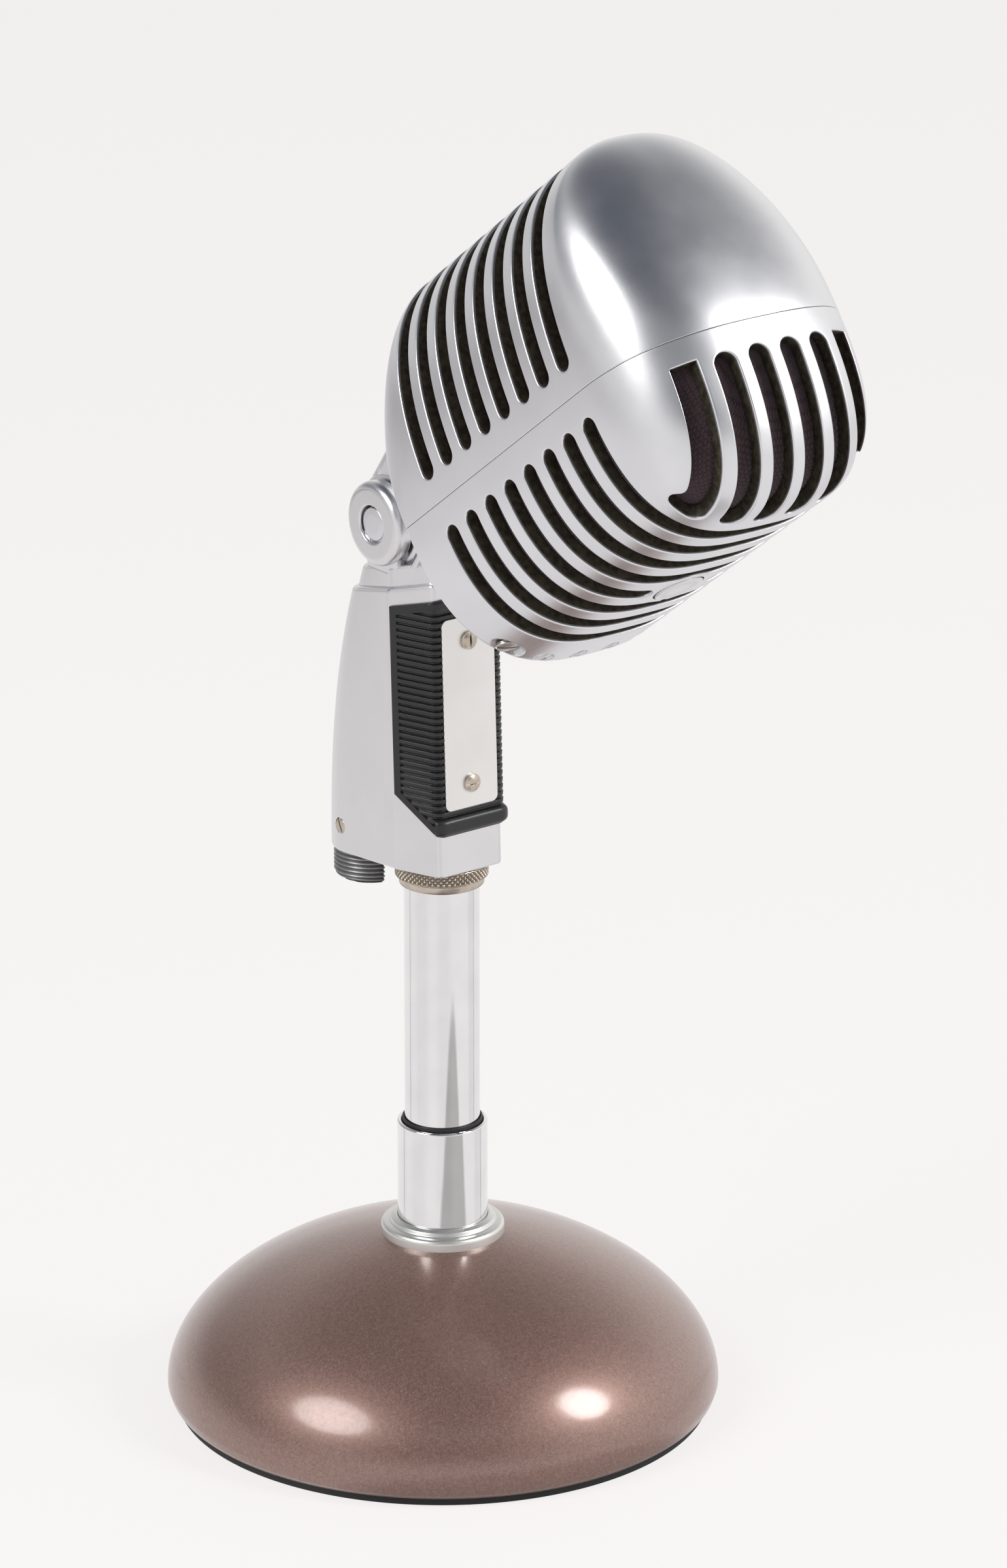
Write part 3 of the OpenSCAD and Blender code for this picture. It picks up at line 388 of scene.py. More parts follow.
        # cuts come in pairs round the cell: out of the skin, then back onto it
        if order and not order[0][0]:
            order = order[1:] + order[:1]
        for k in range(0, len(order) - 1, 2):
            walls.append([order[k][1], order[k + 1][1]])
        for k in range(1, len(outline) - 1):
            triangles.append([outline[0][0], outline[k][0], outline[k + 1][0],
                              outline[0][1], outline[k + 1][1], outline[k][1]])
    triangles = np.array(triangles).reshape(-1, 6)
    shape.face(triangles[:, :3])
    shape.face(triangles[:, 3:])
    walls = np.array(walls).reshape(-1, 2)
    p, q = walls.T
    for first, second in zip(rings[:-1], rings[1:]):
        shape.face(np.stack([first + q, first + p, second + p, second + q], axis=1))
    closed = blind[p] & blind[q] & (which[p] == which[q])
    p, q = walls[~closed].T
    shape.face(np.stack([rings[-1] + q, rings[-1] + p, rimInner + p, rimInner + q], axis=1))
    p, q = walls[closed].T
    for first, second in zip(blindRings[:-1], blindRings[1:]):
        shape.face(np.stack([first + q, first + p, second + p, second + q], axis=1))
    if len(p):
        floor = np.array([centres.get(k, (0, 0)) for k in range(len(openings))])
        shape.face(np.stack([blindRings[-1] + q, blindRings[-1] + p, floor[which[p], 0]], axis=1))
        shape.face(np.stack([rimInner + p, rimInner + q, floor[which[p], 1]], axis=1))

    edges = {"firstRow": index[0, ::-1], "lastRow": index[-1]}
    for side in rim:
        line = edges[side]
        both = keep.ravel()[line[:-1]] & keep.ravel()[line[1:]]
        p = line[:-1][both]
        q = line[1:][both]
        shape.face(np.stack([skin + p, skin + q, lining + q, lining + p], axis=1))


def smoothMax(a, b, blend=0.6):
    return np.maximum(a, b) + np.maximum(blend - np.abs(a - b), 0) ** 2 / (4 * blend)


def smoothMin(a, b, blend=0.6):
    return -smoothMax(-a, -b, blend)


def strip(along, across, radius):
    # gap to a strip that starts in a round end and runs on for ever
    return np.where(along < 0, np.hypot(along, across), np.abs(across)) - radius


# Materials
class Wire:  # one socket of a material, with the sums that are used on it
    def __init__(self, paint, socket):
        self.paint = paint
        self.socket = socket

    def sum(self, operation, *values):
        return self.paint.node("ShaderNodeMath", {"operation": operation}, dict(enumerate(values)))

    def __add__(self, other):
        return self.sum("ADD", self, other)

    def __radd__(self, other):
        return self.sum("ADD", other, self)

    def __sub__(self, other):
        return self.sum("SUBTRACT", self, other)

    def __rsub__(self, other):
        return self.sum("SUBTRACT", other, self)

    def __mul__(self, other):
        return self.sum("MULTIPLY", self, other)

    def __rmul__(self, other):
        return self.sum("MULTIPLY", other, self)

    def sine(self):
        return self.sum("SINE", self)

    def size(self):
        return self.sum("ABSOLUTE", self)

    def clamped(self, low, high):  # 0 below low, 1 above high, straight between
        limits = {"Value": self, "From Min": low, "From Max": high}
        return self.paint.node("ShaderNodeMapRange", {"clamp": True}, limits)


class Paint:  # a material on one Principled shader
    def __init__(self, name, **fixed):
        self.material = bpy.data.materials.new(name)
        self.material.use_nodes = True
        self.tree = self.material.node_tree
        self.tree.nodes.clear()
        self.shader = self.tree.nodes.new("ShaderNodeBsdfPrincipled")
        output = self.tree.nodes.new("ShaderNodeOutputMaterial")
        self.tree.links.new(self.shader.outputs[0], output.inputs[0])
        self.set(**fixed)

    def put(self, socket, value):
        if isinstance(value, Wire):
            self.tree.links.new(value.socket, socket)
        elif isinstance(value, (tuple, list)) and len(value) == 3 and socket.type == "RGBA":
            socket.default_value = (*value, 1)
        else:
            socket.default_value = value

    def node(self, kind, settings=None, values=None, output=0):
        made = self.tree.nodes.new(kind)
        for key, value in (settings or {}).items():
            setattr(made, key, value)
        for key, value in (values or {}).items():
            self.put(made.inputs[key], value)
        return Wire(self, made.outputs[output])

    def set(self, **values):
        for key, value in values.items():
            self.put(self.shader.inputs[key.replace("_", " ")], value)

    def place(self):  # millimetres on the piece at rest
        where = self.node("ShaderNodeTexCoord", output="Object")
        return self.node("ShaderNodeVectorMath", {"operation": "SCALE"}, {0: where, "Scale": 1000.0})

    def stretched(self, where, scale, turn=(0, 0, 0)):
        return self.node("ShaderNodeMapping", None, {"Vector": where, "Scale": scale, "Rotation": turn})

    def noise(self, where, scale, detail=2.0, rough=0.5):
        values = {"Vector": where, "Scale": scale, "Detail": detail, "Roughness": rough}
        return self.node("ShaderNodeTexNoise", None, values)

    def attribute(self, name, output="Fac"):
        return self.node("ShaderNodeAttribute", {"attribute_name": name}, output=output)

    def mix(self, share, first, second):
        made = self.tree.nodes.new("ShaderNodeMix")
        made.data_type = "RGBA"
        self.put(made.inputs[0], share)
        self.put(made.inputs[6], first)
        self.put(made.inputs[7], second)
        return Wire(self, made.outputs[2])

    def bump(self, height, distance, strength=1.0, under=None):
        # distance in millimetres
        values = {"Height": height, "Distance": distance * mm, "Strength": strength}
        if under is not None:
            values["Normal"] = under
        return self.node("ShaderNodeBump", None, values)


# Dark paint inside the slots, by the depth below the skin in millimetres; in the groove round the badge the
# same darkening is painted shade
slotPaint = {"from": 0.2, "to": 0.55, "dark": (0.022, 0.018, 0.012), "pale": (0.07, 0.058, 0.038)}


def satinPaint(name, colour, rough, scuffs=1.0, paintedSlots=False):
    paint = Paint(name, Metallic=1.0)
    where = paint.place()
    cloud = paint.noise(where, 0.09, 3.0)
    fine = paint.noise(where, 2.6, 2.0)
    polish = paint.noise(paint.stretched(where, (1.6, 1.6, 0.12), (0.5, 0.3, 0)), 1.0, 3.0)
    scratch = paint.noise(paint.stretched(where, (0.1, 2.4, 2.2), (0.2, 0.5, 0.7)), 1.0, 2.0)
    scratch = scratch.clamped(0.68, 0.74)
    tint = paint.mix(cloud.clamped(0.35, 0.7), tuple(c * 0.95 for c in colour), colour)
    tint = paint.mix(scratch * 0.03 * scuffs, tint, tuple(c * 0.7 for c in colour))
    roughness = rough + (cloud - 0.5) * 0.12 + (fine - 0.5) * 0.05 + scratch * 0.02 * scuffs
    if paintedSlots:
        inside = paint.attribute("depth").clamped(slotPaint["from"], slotPaint["to"])
        blotch = paint.noise(where, 0.8, 3.0)
        coat = paint.mix(blotch.clamped(0.35, 0.65), slotPaint["dark"], slotPaint["pale"])
        tint = paint.mix(inside, tint, coat)
        roughness = roughness + inside * (0.55 - roughness)
        paint.set(Metallic=1 - inside)
    grain = paint.bump(polish, 0.01 * scuffs, 0.5)
    paint.set(Base_Color=tint, Roughness=roughness, Normal=paint.bump(fine, 0.006, 0.6, grain))
    return paint.material


def chromePaint(name, colour, rough):
    paint = Paint(name, Metallic=1.0)
    where = paint.place()
    haze = paint.noise(where, 0.12, 4.0)
    wipe = paint.noise(paint.stretched(where, (2.0, 2.0, 0.15)), 1.0, 3.0)
    paint.set(Base_Color=paint.mix(haze.clamped(0.3, 0.75), tuple(c * 0.92 for c in colour), colour),
              Roughness=rough + haze * 0.05 + wipe.clamped(0.55, 0.8) * 0.05,
              Normal=paint.bump(wipe, 0.004, 0.4))
    return paint.material


def enamelPaint(name):
    look = {"base": (0.30, 0.178, 0.145), "deep": (0.225, 0.128, 0.103), "flake": (0.58, 0.39, 0.33)}
    paint = Paint(name, Metallic=0.5, Coat_Roughness=0.14, Coat_IOR=1.6)
    where = paint.place()
    mottle = paint.noise(where, 1.3, 4.0, 0.6)
    flakes = paint.node("ShaderNodeTexVoronoi", {"feature": "F1"}, {"Vector": where, "Scale": 6.0}, "Color")
    flake = paint.node("ShaderNodeSeparateColor", None, {0: flakes})
    peel = paint.noise(where, 0.8, 2.0)
    colour = paint.mix(mottle.clamped(0.3, 0.7), look["deep"], look["base"])
    colour = paint.mix(flake.clamped(0.7, 1.0) * 0.35, colour, look["flake"])
    paint.set(Base_Color=colour, Roughness=0.4 + (flake - 0.5) * 0.16, Coat_Weight=0.85 + mottle * 0.1,
              Normal=paint.bump(peel, 0.012, 0.6, paint.bump(flake, 0.004, 0.6)))
    return paint.material


def mouldedPaint(name, colour, rough, speck=0.3):
    paint = Paint(name, Specular_IOR_Level=0.5)
    where = paint.place()
    cloud = paint.noise(where, 0.25, 4.0)
    fine = paint.noise(where, 4.0, 2.0)
    dust = paint.noise(where, 1.7, 3.0).clamped(0.62, 0.75)
    worn = tuple(min(1, c * 1.8 + 0.012) for c in colour)
    paint.set(Base_Color=paint.mix(dust * speck + cloud * 0.2, colour, worn),
              Roughness=rough + (cloud - 0.5) * 0.15, Normal=paint.bump(fine, 0.01, 0.5))
    return paint.material


def platedPaint(name, colour, dark, rough, grain=1.0):
    # plain plated or turned metal, darker where it is deep
    paint = Paint(name, Metallic=1.0)
    where = paint.place()
    cloud = paint.noise(where, 0.5, 4.0)
    fine = paint.noise(where, 3.0, 3.0)
    depth = paint.attribute("depth").clamped(0.05, 0.6)
    tint = paint.mix(cloud.clamped(0.35, 0.7), tuple(c * 0.8 for c in colour), colour)
    paint.set(Base_Color=paint.mix(depth, tint, dark), Roughness=rough + (fine - 0.5) * 0.2 + depth * 0.2,
              Normal=paint.bump(fine, 0.008 * grain, 0.6))
    return paint.material


def wovenPaint(name):
    look = {"pitch": 0.62, "warp": (0.085, 0.046, 0.056), "weft": (0.05, 0.03, 0.038),
            "gap": (0.01, 0.008, 0.009), "slub": (0.11, 0.075, 0.065)}
    paint = Paint(name, Roughness=0.85, Sheen_Weight=0.35, Sheen_Roughness=0.4)
    at = paint.attribute("weave", "Vector")
    across = paint.node("ShaderNodeSeparateXYZ", None, {0: at}, "X") * (pi / look["pitch"])
    along = paint.node("ShaderNodeSeparateXYZ", None, {0: at}, "Y") * (pi / look["pitch"])
    warp = across.sine().size()
    weft = along.sine().size()
    over = across.sine() * along.sine()
    top = over.clamped(-0.15, 0.15)
    height = warp * (1 - top) + weft * top
    slub = paint.noise(paint.place(), 0.9, 3.0)
    colour = paint.mix(top, look["warp"], look["weft"])
    # darker in the low places between the yarns, down to the gap colour: painted shade between the yarns
    colour = paint.mix(height.clamped(0.1, 0.55), look["gap"], colour)
    colour = paint.mix(slub.clamped(0.45, 0.75) * 0.35, colour, look["slub"])
    paint.set(Base_Color=colour, Normal=paint.bump(height, 0.12, 0.8))
    return paint.material


paints = {
    "satin": satinPaint("satinCasting", (0.77, 0.775, 0.80), 0.33, paintedSlots=True),
    "satinPlain": satinPaint("satinMount", (0.75, 0.745, 0.765), 0.3),
    "satin_ring": satinPaint("turnedRing", (0.80, 0.80, 0.775), 0.38, 0.5),
    "chrome": chromePaint("mirrorPlate", (0.84, 0.84, 0.845), 0.045),
    "enamel": enamelPaint("flakeEnamel"),
    "pad": mouldedPaint("padRubber", (0.02, 0.02, 0.02), 0.75),
    "iron": platedPaint("rawIron", (0.16, 0.16, 0.17), (0.05, 0.05, 0.05), 0.6, 3.0),
    "liner": mouldedPaint("linerBlack", (0.012, 0.012, 0.012), 0.5),
    "zinc": platedPaint("zincPlate", (0.42, 0.42, 0.42), (0.1, 0.1, 0.1), 0.38),
    "nickel": platedPaint("agedNickel", (0.62, 0.55, 0.47), (0.16, 0.125, 0.09), 0.28),
    "screwSteel": platedPaint("dulledScrew", (0.6, 0.58, 0.55), (0.2, 0.18, 0.15), 0.3),
    "brass": platedPaint("turnedBrass", (0.6, 0.42, 0.16), (0.2, 0.13, 0.05), 0.3),
    "bakelite": mouldedPaint("mouldedInsert", (0.012, 0.012, 0.013), 0.34),
    "plate": satinPaint("blankPlate", (0.83, 0.82, 0.81), 0.42, 0.6),
    "insulator": mouldedPaint("mouldedInsulator", (0.03, 0.022, 0.018), 0.4),
    "contact": platedPaint("tinnedContact", (0.62, 0.52, 0.3), (0.2, 0.15, 0.08), 0.35),
    "laminate": mouldedPaint("paperLaminate", (0.22, 0.12, 0.05), 0.5),
    "core": platedPaint("stackedSheet", (0.2, 0.2, 0.21), (0.08, 0.08, 0.08), 0.5, 2.0),
    "winding": mouldedPaint("varnishedTape", (0.3, 0.1, 0.04), 0.45),
    "fibre": mouldedPaint("oiledFibre", (0.06, 0.04, 0.03), 0.6),
    "cloth": wovenPaint("wovenLining"),
    "rubber": mouldedPaint("softRubber", (0.025, 0.025, 0.025), 0.8),
    "steel": platedPaint("machinedSteel", (0.4, 0.4, 0.41), (0.15, 0.15, 0.15), 0.35),
    "magnet": platedPaint("groundMagnet", (0.22, 0.22, 0.23), (0.1, 0.1, 0.1), 0.5),
    "copper": platedPaint("enamelledWire", (0.5, 0.2, 0.08), (0.2, 0.08, 0.03), 0.3),
    "diaphragm": mouldedPaint("varnishedFilm", (0.55, 0.48, 0.32), 0.25),
}
for node, slot in slots.items():
    solid = frame["nodes"][node]
    solid.data.materials.clear()
    solid.data.materials.append(paints["satinPlain" if slot == "satin" else slot])
print("materials made,", len(paints))


# Head: two ribbed shells with woven linings, in the frame with its origin at the seam's foot
head = {"height": 95.3, "half": 29.4, "front": 34.3, "rear": 47.2, "frontPower": 2.8, "rearPower": 2.4,
        "slotPitch": 7.67, "slotFirst": 16.2, "slotWidth": 4.2, "slotCount": 8, "slotLand": 5.1,
        "uprightWidth": 4.8, "hook": 2.0, "badge": 5.1, "edge": 0.34, "skin": 2.9, "step": 0.5,
        "chinUp": 6.1, "chinX": 19.6, "chinRadius": 2.8, "chinDeep": 1.4, "dimple": 1.9, "dimplePitch": 8.2,
        "dimpleDeep": 0.55, "dimpleFoot": 0.3, "recessEdge": 0.25, "insideY": 15, "insideUp": 48,
        "crownSide": (24.3, 2.58), "crownFront": (20.2, 2.56), "crownRear": (19, 1.5),
        "heelSide": 2.8, "heelFront": 4.65, "heelRear": 14.5, "heelPower": 2.2,
        "neckHalf": 8, "neckFrom": 2, "neckTo": 24, "neckUp": 4}
badgeUp = head["slotFirst"] + 3 * head["slotPitch"]


def crown(u, length, power):
    share = np.clip((u - head["height"] + length) / length, 0, 1)
    return (1 - share ** power) ** (1 / power)


def heel(u, length):
    share = np.clip((length - u) / length, 0, 1)
    return 0.2 + 0.8 * (1 - share ** head["heelPower"]) ** (1 / head["heelPower"])


def halfWidth(u):
    return head["half"] * np.minimum(crown(u, *head["crownSide"]), heel(u, head["heelSide"]))


def reachOut(u, side):
    if side < 0:
        return head["front"] * np.minimum(crown(u, *head["crownFront"]), heel(u, head["heelFront"]))
    return head["rear"] * np.minimum(crown(u, *head["crownRear"]), heel(u, head["heelRear"]))


def evenly(points, step):
    # indices into a dense line of points that lie a step apart along it, as fractions
    length = np.concatenate([[0], np.cumsum(np.linalg.norm(np.diff(points, axis=0), axis=1))])
    count = max(4, int(round(length[-1] / step)))
    return np.interp(np.linspace(0, length[-1], count + 1), length, np.arange(len(points)))


def shellGrid(side, step):
    # the outer skin of one shell, rows from the middle of its foot to the top, columns from +X round to -X
    power = head["frontPower"] if side < 0 else head["rearPower"]
    t = np.linspace(0, 1, 40001)
    up = head["height"] / 2 * (1 - np.cos(pi * t))
    line = np.stack([reachOut(up, side), halfWidth(up) * 0.6, up], axis=1)
    rowsUp = np.interp(evenly(line, step), np.arange(len(up)), up)
    share = np.linspace(0.03, 1, int(8 / step))[:-1]
    up = np.concatenate([np.zeros(len(share)), rowsUp])
    scale = np.concatenate([share, np.ones(len(rowsUp))])
    angle = np.linspace(0, pi, 40001)

    def across(a):
        return np.sign(np.cos(a)) * np.abs(np.cos(a)) ** (2 / power)

    def outwards(a):
        return np.sin(a).clip(0) ** (2 / power)

    line = np.stack([head["half"] * across(angle), reachOut(np.array(40.0), side) * outwards(angle)], axis=1)
    angle = np.interp(evenly(line, step), np.arange(len(angle)), angle)
    x = (halfWidth(up) * scale)[:, None] * across(angle)
    y = side * (reachOut(up, side) * scale)[:, None] * outwards(angle)
    return np.stack([x, y, np.broadcast_to(up[:, None], x.shape)], axis=2)


def faceDepth(x, u):
    # how far in front of the seam the skin lies, at a place across and up
    u = np.array(float(u))
    power = head["frontPower"]
    return reachOut(u, -1) * (1 - (abs(x) / halfWidth(u)) ** power) ** (1 / power)


def levelSlot(side, number):
    radius = head["slotWidth"] / 2
    up = head["slotFirst"] + number * head["slotPitch"]

    def gap(p):
        opening = strip(side * p[:, 1] - head["slotLand"] - radius, p[:, 2] - up, radius)
        if side < 0 and number in (2, 4):
            land = head["badge"] + 1.3 - np.hypot(p[:, 0], p[:, 2] - badgeUp)
            opening = smoothMax(opening, land, 0.8)
        return opening
    return {"gap": gap, "edge": head["edge"]}


def badgeSlots(p):
    radius = head["slotWidth"] / 2
    up = p[:, 2] - badgeUp
    return np.maximum(strip(np.abs(p[:, 0]) - head["badge"] - 1.8 - radius, up, radius),
                      strip(-p[:, 1] - head["slotLand"] - radius, up, radius))


def uprightSlot(number):
    radius = head["uprightWidth"] / 2
    x = (number - 2.5) * head["slotPitch"]
    foot = head["slotFirst"] + (head["slotCount"] - 1) * head["slotPitch"] + head["slotWidth"] / 2 + 3.4

    def gap(p):
        if 0 < number < 5:
            return np.maximum(strip(p[:, 2] - foot - radius, p[:, 0] - x, radius),
                              strip(-p[:, 1] - head["slotLand"] - radius, p[:, 0] - x, radius))
        outer = np.sign(x) * (p[:, 0] - x)
        low = p[:, 2] - foot - radius * 0.8
        square = smoothMax(np.abs(outer) - radius, head["slotLand"] + p[:, 1], 0.5)
        square = np.maximum(square, -low)
        tail = np.hypot(outer - head["hook"], low) - radius * 0.8
        hook = smoothMin(np.hypot(outer, low) - radius, tail, 0.8)
        return smoothMin(square, np.where(p[:, 1] < 0, hook, 50.0), np.clip(outer * 1.5, 0.05, 2.0))
    return {"gap": gap, "edge": head["edge"]}


def roundRecess(x, u, radius, y, edge):
    return {"gap": lambda p: np.where(p[:, 1] < 0, np.hypot(p[:, 0] - x, p[:, 2] - u) - radius, 50.0),
            "edge": edge, "floor": (x, y, u), "drill": (0, 1, 0)}


def seamGap(side):
    return {"gap": lambda p: side * p[:, 1] - 0.03, "edge": 0.14}


frontOpenings = [seamGap(-1), {"gap": badgeSlots, "edge": head["edge"]}]
frontOpenings += [levelSlot(-1, k) for k in range(head["slotCount"]) if k != 3]
frontOpenings += [uprightSlot(k) for k in range(6)]
frontOpenings.append(roundRecess(0, badgeUp, head["badge"] + 0.3, 1.0 - head["front"], 0.2))
# the badge's recess takes the slots' dark colour: painted shade in the narrow groove round the badge
frontOpenings[-1]["painted"] = True
for x in (-head["chinX"], head["chinX"]):
    seat = head["chinDeep"] - faceDepth(x, head["chinUp"])
    frontOpenings.append(roundRecess(x, head["chinUp"], head["chinRadius"], seat, head["recessEdge"]))
for k in (-1.5, -0.5, 0.5, 1.5):
    x = k * head["dimplePitch"]
    seat = head["dimpleDeep"] - faceDepth(x, head["chinUp"])
    frontOpenings.append(roundRecess(x, head["chinUp"], head["dimple"], seat, head["recessEdge"]))
    frontOpenings[-1]["foot"] = head["dimpleFoot"]


def neckHole(p):
    # gap to the hole in the rear shell's foot that the knuckle's neck goes in by
    return np.maximum.reduce([np.abs(p[:, 0]) - head["neckHalf"], head["neckFrom"] - p[:, 1],
                              p[:, 1] - head["neckTo"], p[:, 2] - head["neckUp"]])


rearOpenings = [seamGap(1)] + [levelSlot(1, k) for k in range(head["slotCount"])]
rearOpenings.append({"gap": neckHole, "edge": 0.1})

for name, side, openings in (("front_shell", -1, frontOpenings), ("rear_shell", 1, rearOpenings)):
    shape = Shape()
    inside = (0, side * head["insideY"], head["insideUp"])
    carve(shape, shellGrid(side, head["step"]), openings, head["skin"], inside)
    finishPiece(name + ".ribbed", shape, inHead)

lining = {"gap": 3.25, "thick": 0.45, "step": 1.2, "foot": 12.9, "rearTop": 76.5, "girth": 33}
for name, side in (("front_cloth", -1), ("rear_cloth", 1)):
    grid = shellGrid(side, lining["step"])
    inside = (0, side * head["insideY"], head["insideUp"])
    inner = grid - gridNormals(grid, inside) * lining["gap"]
    steps = np.linalg.norm(np.diff(inner, axis=1), axis=2)
    rises = np.linalg.norm(np.diff(inner, axis=0), axis=2)
    tall = (rises * (inner[1:, :, 2] > lining["foot"])).sum(axis=0)
    flat = (round(float(steps.sum(axis=1).max()) * mm, 3), round(float(tall.max()) * mm, 3))
    edges = [{"gap": lambda p, side=side: side * p[:, 1] - 0.5, "edge": 0.05},
             {"gap": lambda p: p[:, 2] - lining["foot"], "edge": 0.05}]
    if side > 0:
        edges.append({"gap": lambda p: lining["rearTop"] - p[:, 2], "edge": 0.05})
    shape = Shape()
    carve(shape, inner, edges, lining["thick"], inside, roundSteps=1)
    points = np.concatenate(shape.points)
    girth = np.arctan2(points[:, 1] * side, points[:, 0]) * lining["girth"]
    weave = np.stack([girth, points[:, 2], points[:, 1]], axis=1)
    piece = finishPiece(name + ".woven", shape, inHead, weave=weave)
    area = sum(p.area for p in piece.data.polygons) / 2
    name.replace("cloth", "shell") + ".ribbed"
    print("lining", name, "cut", flat, "area", round(area, 6))

badge = {"radius": 5.1, "tall": 1.2, "dome": 0.15}
outline = rounded([(0, badge["tall"]), (0, badge["tall"] + badge["dome"]), (badge["radius"], badge["tall"]),
                   (badge["radius"], 0), (0, 0)], [0, 0, 0.3, 0.1, 0])
shape = lathe(outline)
inBadge = inHead @ Matrix.Translation((0, 1.0 - head["front"], badgeUp)) @ Matrix.Rotation(pi / 2, 4, "X")
finishPiece("badge.disc", shape, inBadge, "satinPlain")


def slottedHead(radius, tall, dome, slotWidth, slotDeep, edge=0.18):
    # a screw's head from its seat at 0 upwards: two halves beside the slot on a plain disc
    shape = disc(radius - 0.02, tall - slotDeep, 0, 0.02)
    span = np.linspace(-radius * 1.08, radius * 1.08, 61)
    x, y = np.meshgrid(span, span)
    z = tall - dome * (x ** 2 + y ** 2) / radius ** 2
    openings = [{"gap": lambda p: radius - np.hypot(p[:, 0], p[:, 1]), "edge": edge},
                {"gap": lambda p: np.abs(p[:, 1]) - slotWidth / 2, "edge": 0.08}]
    carve(shape, np.stack([x, y, z], axis=2), openings, slotDeep - dome * 0.5, (0, 0, -20), roundSteps=4)
    return shape


chinHead = {"radius": 2.3, "tall": 0.9, "dome": 0.2, "slotWidth": 0.6, "slotDeep": 0.5}
chin = Shape()
for side, turn in ((-1, 0.35), (1, -0.2)):
    x = side * head["chinX"]
    place = (Matrix.Translation((x, 1.15 - faceDepth(x, head["chinUp"]), head["chinUp"]))
             @ Matrix.Rotation(pi / 2, 4, "X") @ Matrix.Rotation(side * 0.3, 4, "Y")
             @ Matrix.Rotation(turn, 4, "Z"))
    chin.join(slottedHead(**chinHead), place)
finishPiece("chin_screws.slotted", chin, inHead, "screwSteel")
print("head made")


# Mount: polished housing with a ribbed black insert, fork and knuckle
mount = {"frontHalf": 8.0, "frontY": 10.2, "sideHalf": 11.8, "chamferY": 10.5, "rearRadius": 9.6,
         "rearY": 22.3, "rearLean": 11.0, "frontLean": 2.3, "rearDrop": 2.9, "shoulder": 63.4,
         "rearPower": 2.3, "rearFrom": 0.8, "frontShare": 0.7, "sideCorner": 1.6,
         "fall": math.tan(math.radians(15)), "corner": 1.3, "topRim": 0.9, "footRim": 0.6}


def mountOutline(k, inset):
    # closed outline of the housing at a share k of its height, the same count of points at every height
    front = -mount["frontY"] + mount["frontLean"] * k
    rear = mount["rearY"] - mount["rearLean"] * max(k, 0) ** mount["rearPower"]
    a = np.array([mount["frontHalf"] - mount["frontShare"] * inset, front + inset])
    b = np.array([mount["sideHalf"] - inset, front + mount["chamferY"]])
    centre = np.array([0, rear])
    radius = mount["rearRadius"] - inset
    away = b - centre
    touch = math.atan2(away[1], away[0]) + math.acos(radius / np.linalg.norm(away))
    contact = centre + radius * np.array([math.cos(touch), math.sin(touch)])
    radii = [0, mount["corner"], mount["corner"] * mount["sideCorner"], 0]
    path = rounded([(0, front + inset), a, b, contact], radii, 6)
    parts = []
    for start, end, count in ((0, 1, 5), (1, 7, 0), (7, 8, 7), (8, 14, 0), (14, 15, 12)):
        if count:
            t = np.linspace(0, 1, count, endpoint=False)[:, None]
            parts.append(path[start] + (path[end] - path[start]) * t)
        else:
            parts.append(path[start:end])
    arc = np.linspace(touch, pi / 2, 29)[:, None]
    parts.append(centre + radius * np.hstack([np.cos(arc), np.sin(arc)]))
    half = np.concatenate(parts)
    return np.concatenate([half, (half * (-1, 1))[-2:0:-1]])


def mountRow(share, inset, lift):
    # one row of points round the housing, between its sloping foot and its sloping shoulder
    count = len(mountOutline(0.5, 0))
    height = np.full(count, share * mount["shoulder"])
    for _ in range(4):
        row = np.zeros((count, 3))
        cache = {}
        for i in range(count):
            k = round(float(height[i]) / mount["shoulder"], 3)
            if k not in cache:
                cache[k] = mountOutline(k, inset)
            row[i, :2] = cache[k][i]
        top = mount["shoulder"] - (row[:, 1] + mount["frontY"] - mount["frontLean"]) * mount["fall"]
        back = (row[:, 1] - mount["rearFrom"]) / (mount["rearY"] - mount["rearFrom"])
        drop = -mount["rearDrop"] * np.clip(back, 0, 1)
        height = drop + (top - drop) * share + lift
    row[:, 2] = height
    return row


def loft(shape, rows):
    count = len(rows[0])
    start = shape.add(np.concatenate(rows))
    shape.face(gridFaces(len(rows), count, start, wrapCols=True))
    j = np.arange(count)
    nextJ = (j + 1) % count
    for row, first, flip in ((rows[0], start, True), (rows[-1], start + (len(rows) - 1) * count, False)):
        centre = shape.add([np.mean(row, axis=0)])
        fan = np.stack([np.full(count, centre), first + j, first + nextJ], axis=1)
        shape.face(fan[:, ::-1] if flip else fan)
    return shape


rows = [mountRow(0, inset, 0) for inset in (6.0, 2.0)]
rim = mount["footRim"]
rows += [mountRow(0, rim * (1 - math.sin(a)), rim * (1 - math.cos(a))) for a in np.linspace(0, pi / 2, 6)]
rows += [mountRow(share, 0, 0) for share in np.linspace(0.02, 0.98, 40)]
rim = mount["topRim"]
rows += [mountRow(1, rim * (1 - math.cos(a)), -rim * (1 - math.sin(a))) for a in np.linspace(0, pi / 2, 7)]
rows += [mountRow(1, inset, 0) for inset in (2.0, 5.0)]
finishPiece("mount_housing.polished", loft(Shape(), rows), onMount, "satinPlain")

insert = {"foot": 9.1, "gap": 3.7, "proud": 0.9, "frame": 1.7, "rise": math.tan(math.radians(38)),
          "ribPitch": 1.45, "ribHigh": 0.55, "floor": 0.28, "lipFoot": 0.25, "lipTop": 4.0,
          "lipProud": 1.7, "lipHalf": 8.4, "sideIn": 0.6, "rim": 0.45}


def softStep(x, low, high):
    t = np.clip((x - low) / (high - low), 0, 1)
    return t * t * (3 - 2 * t)


def ribForm(turns):
    # flat-topped rib with a rounded upper edge and a narrow groove below it
    t = turns % 1
    return softStep(t, 0.0, 0.1) * (1 - softStep(t, 0.66, 0.8)) * (0.85 + 0.15 * t)


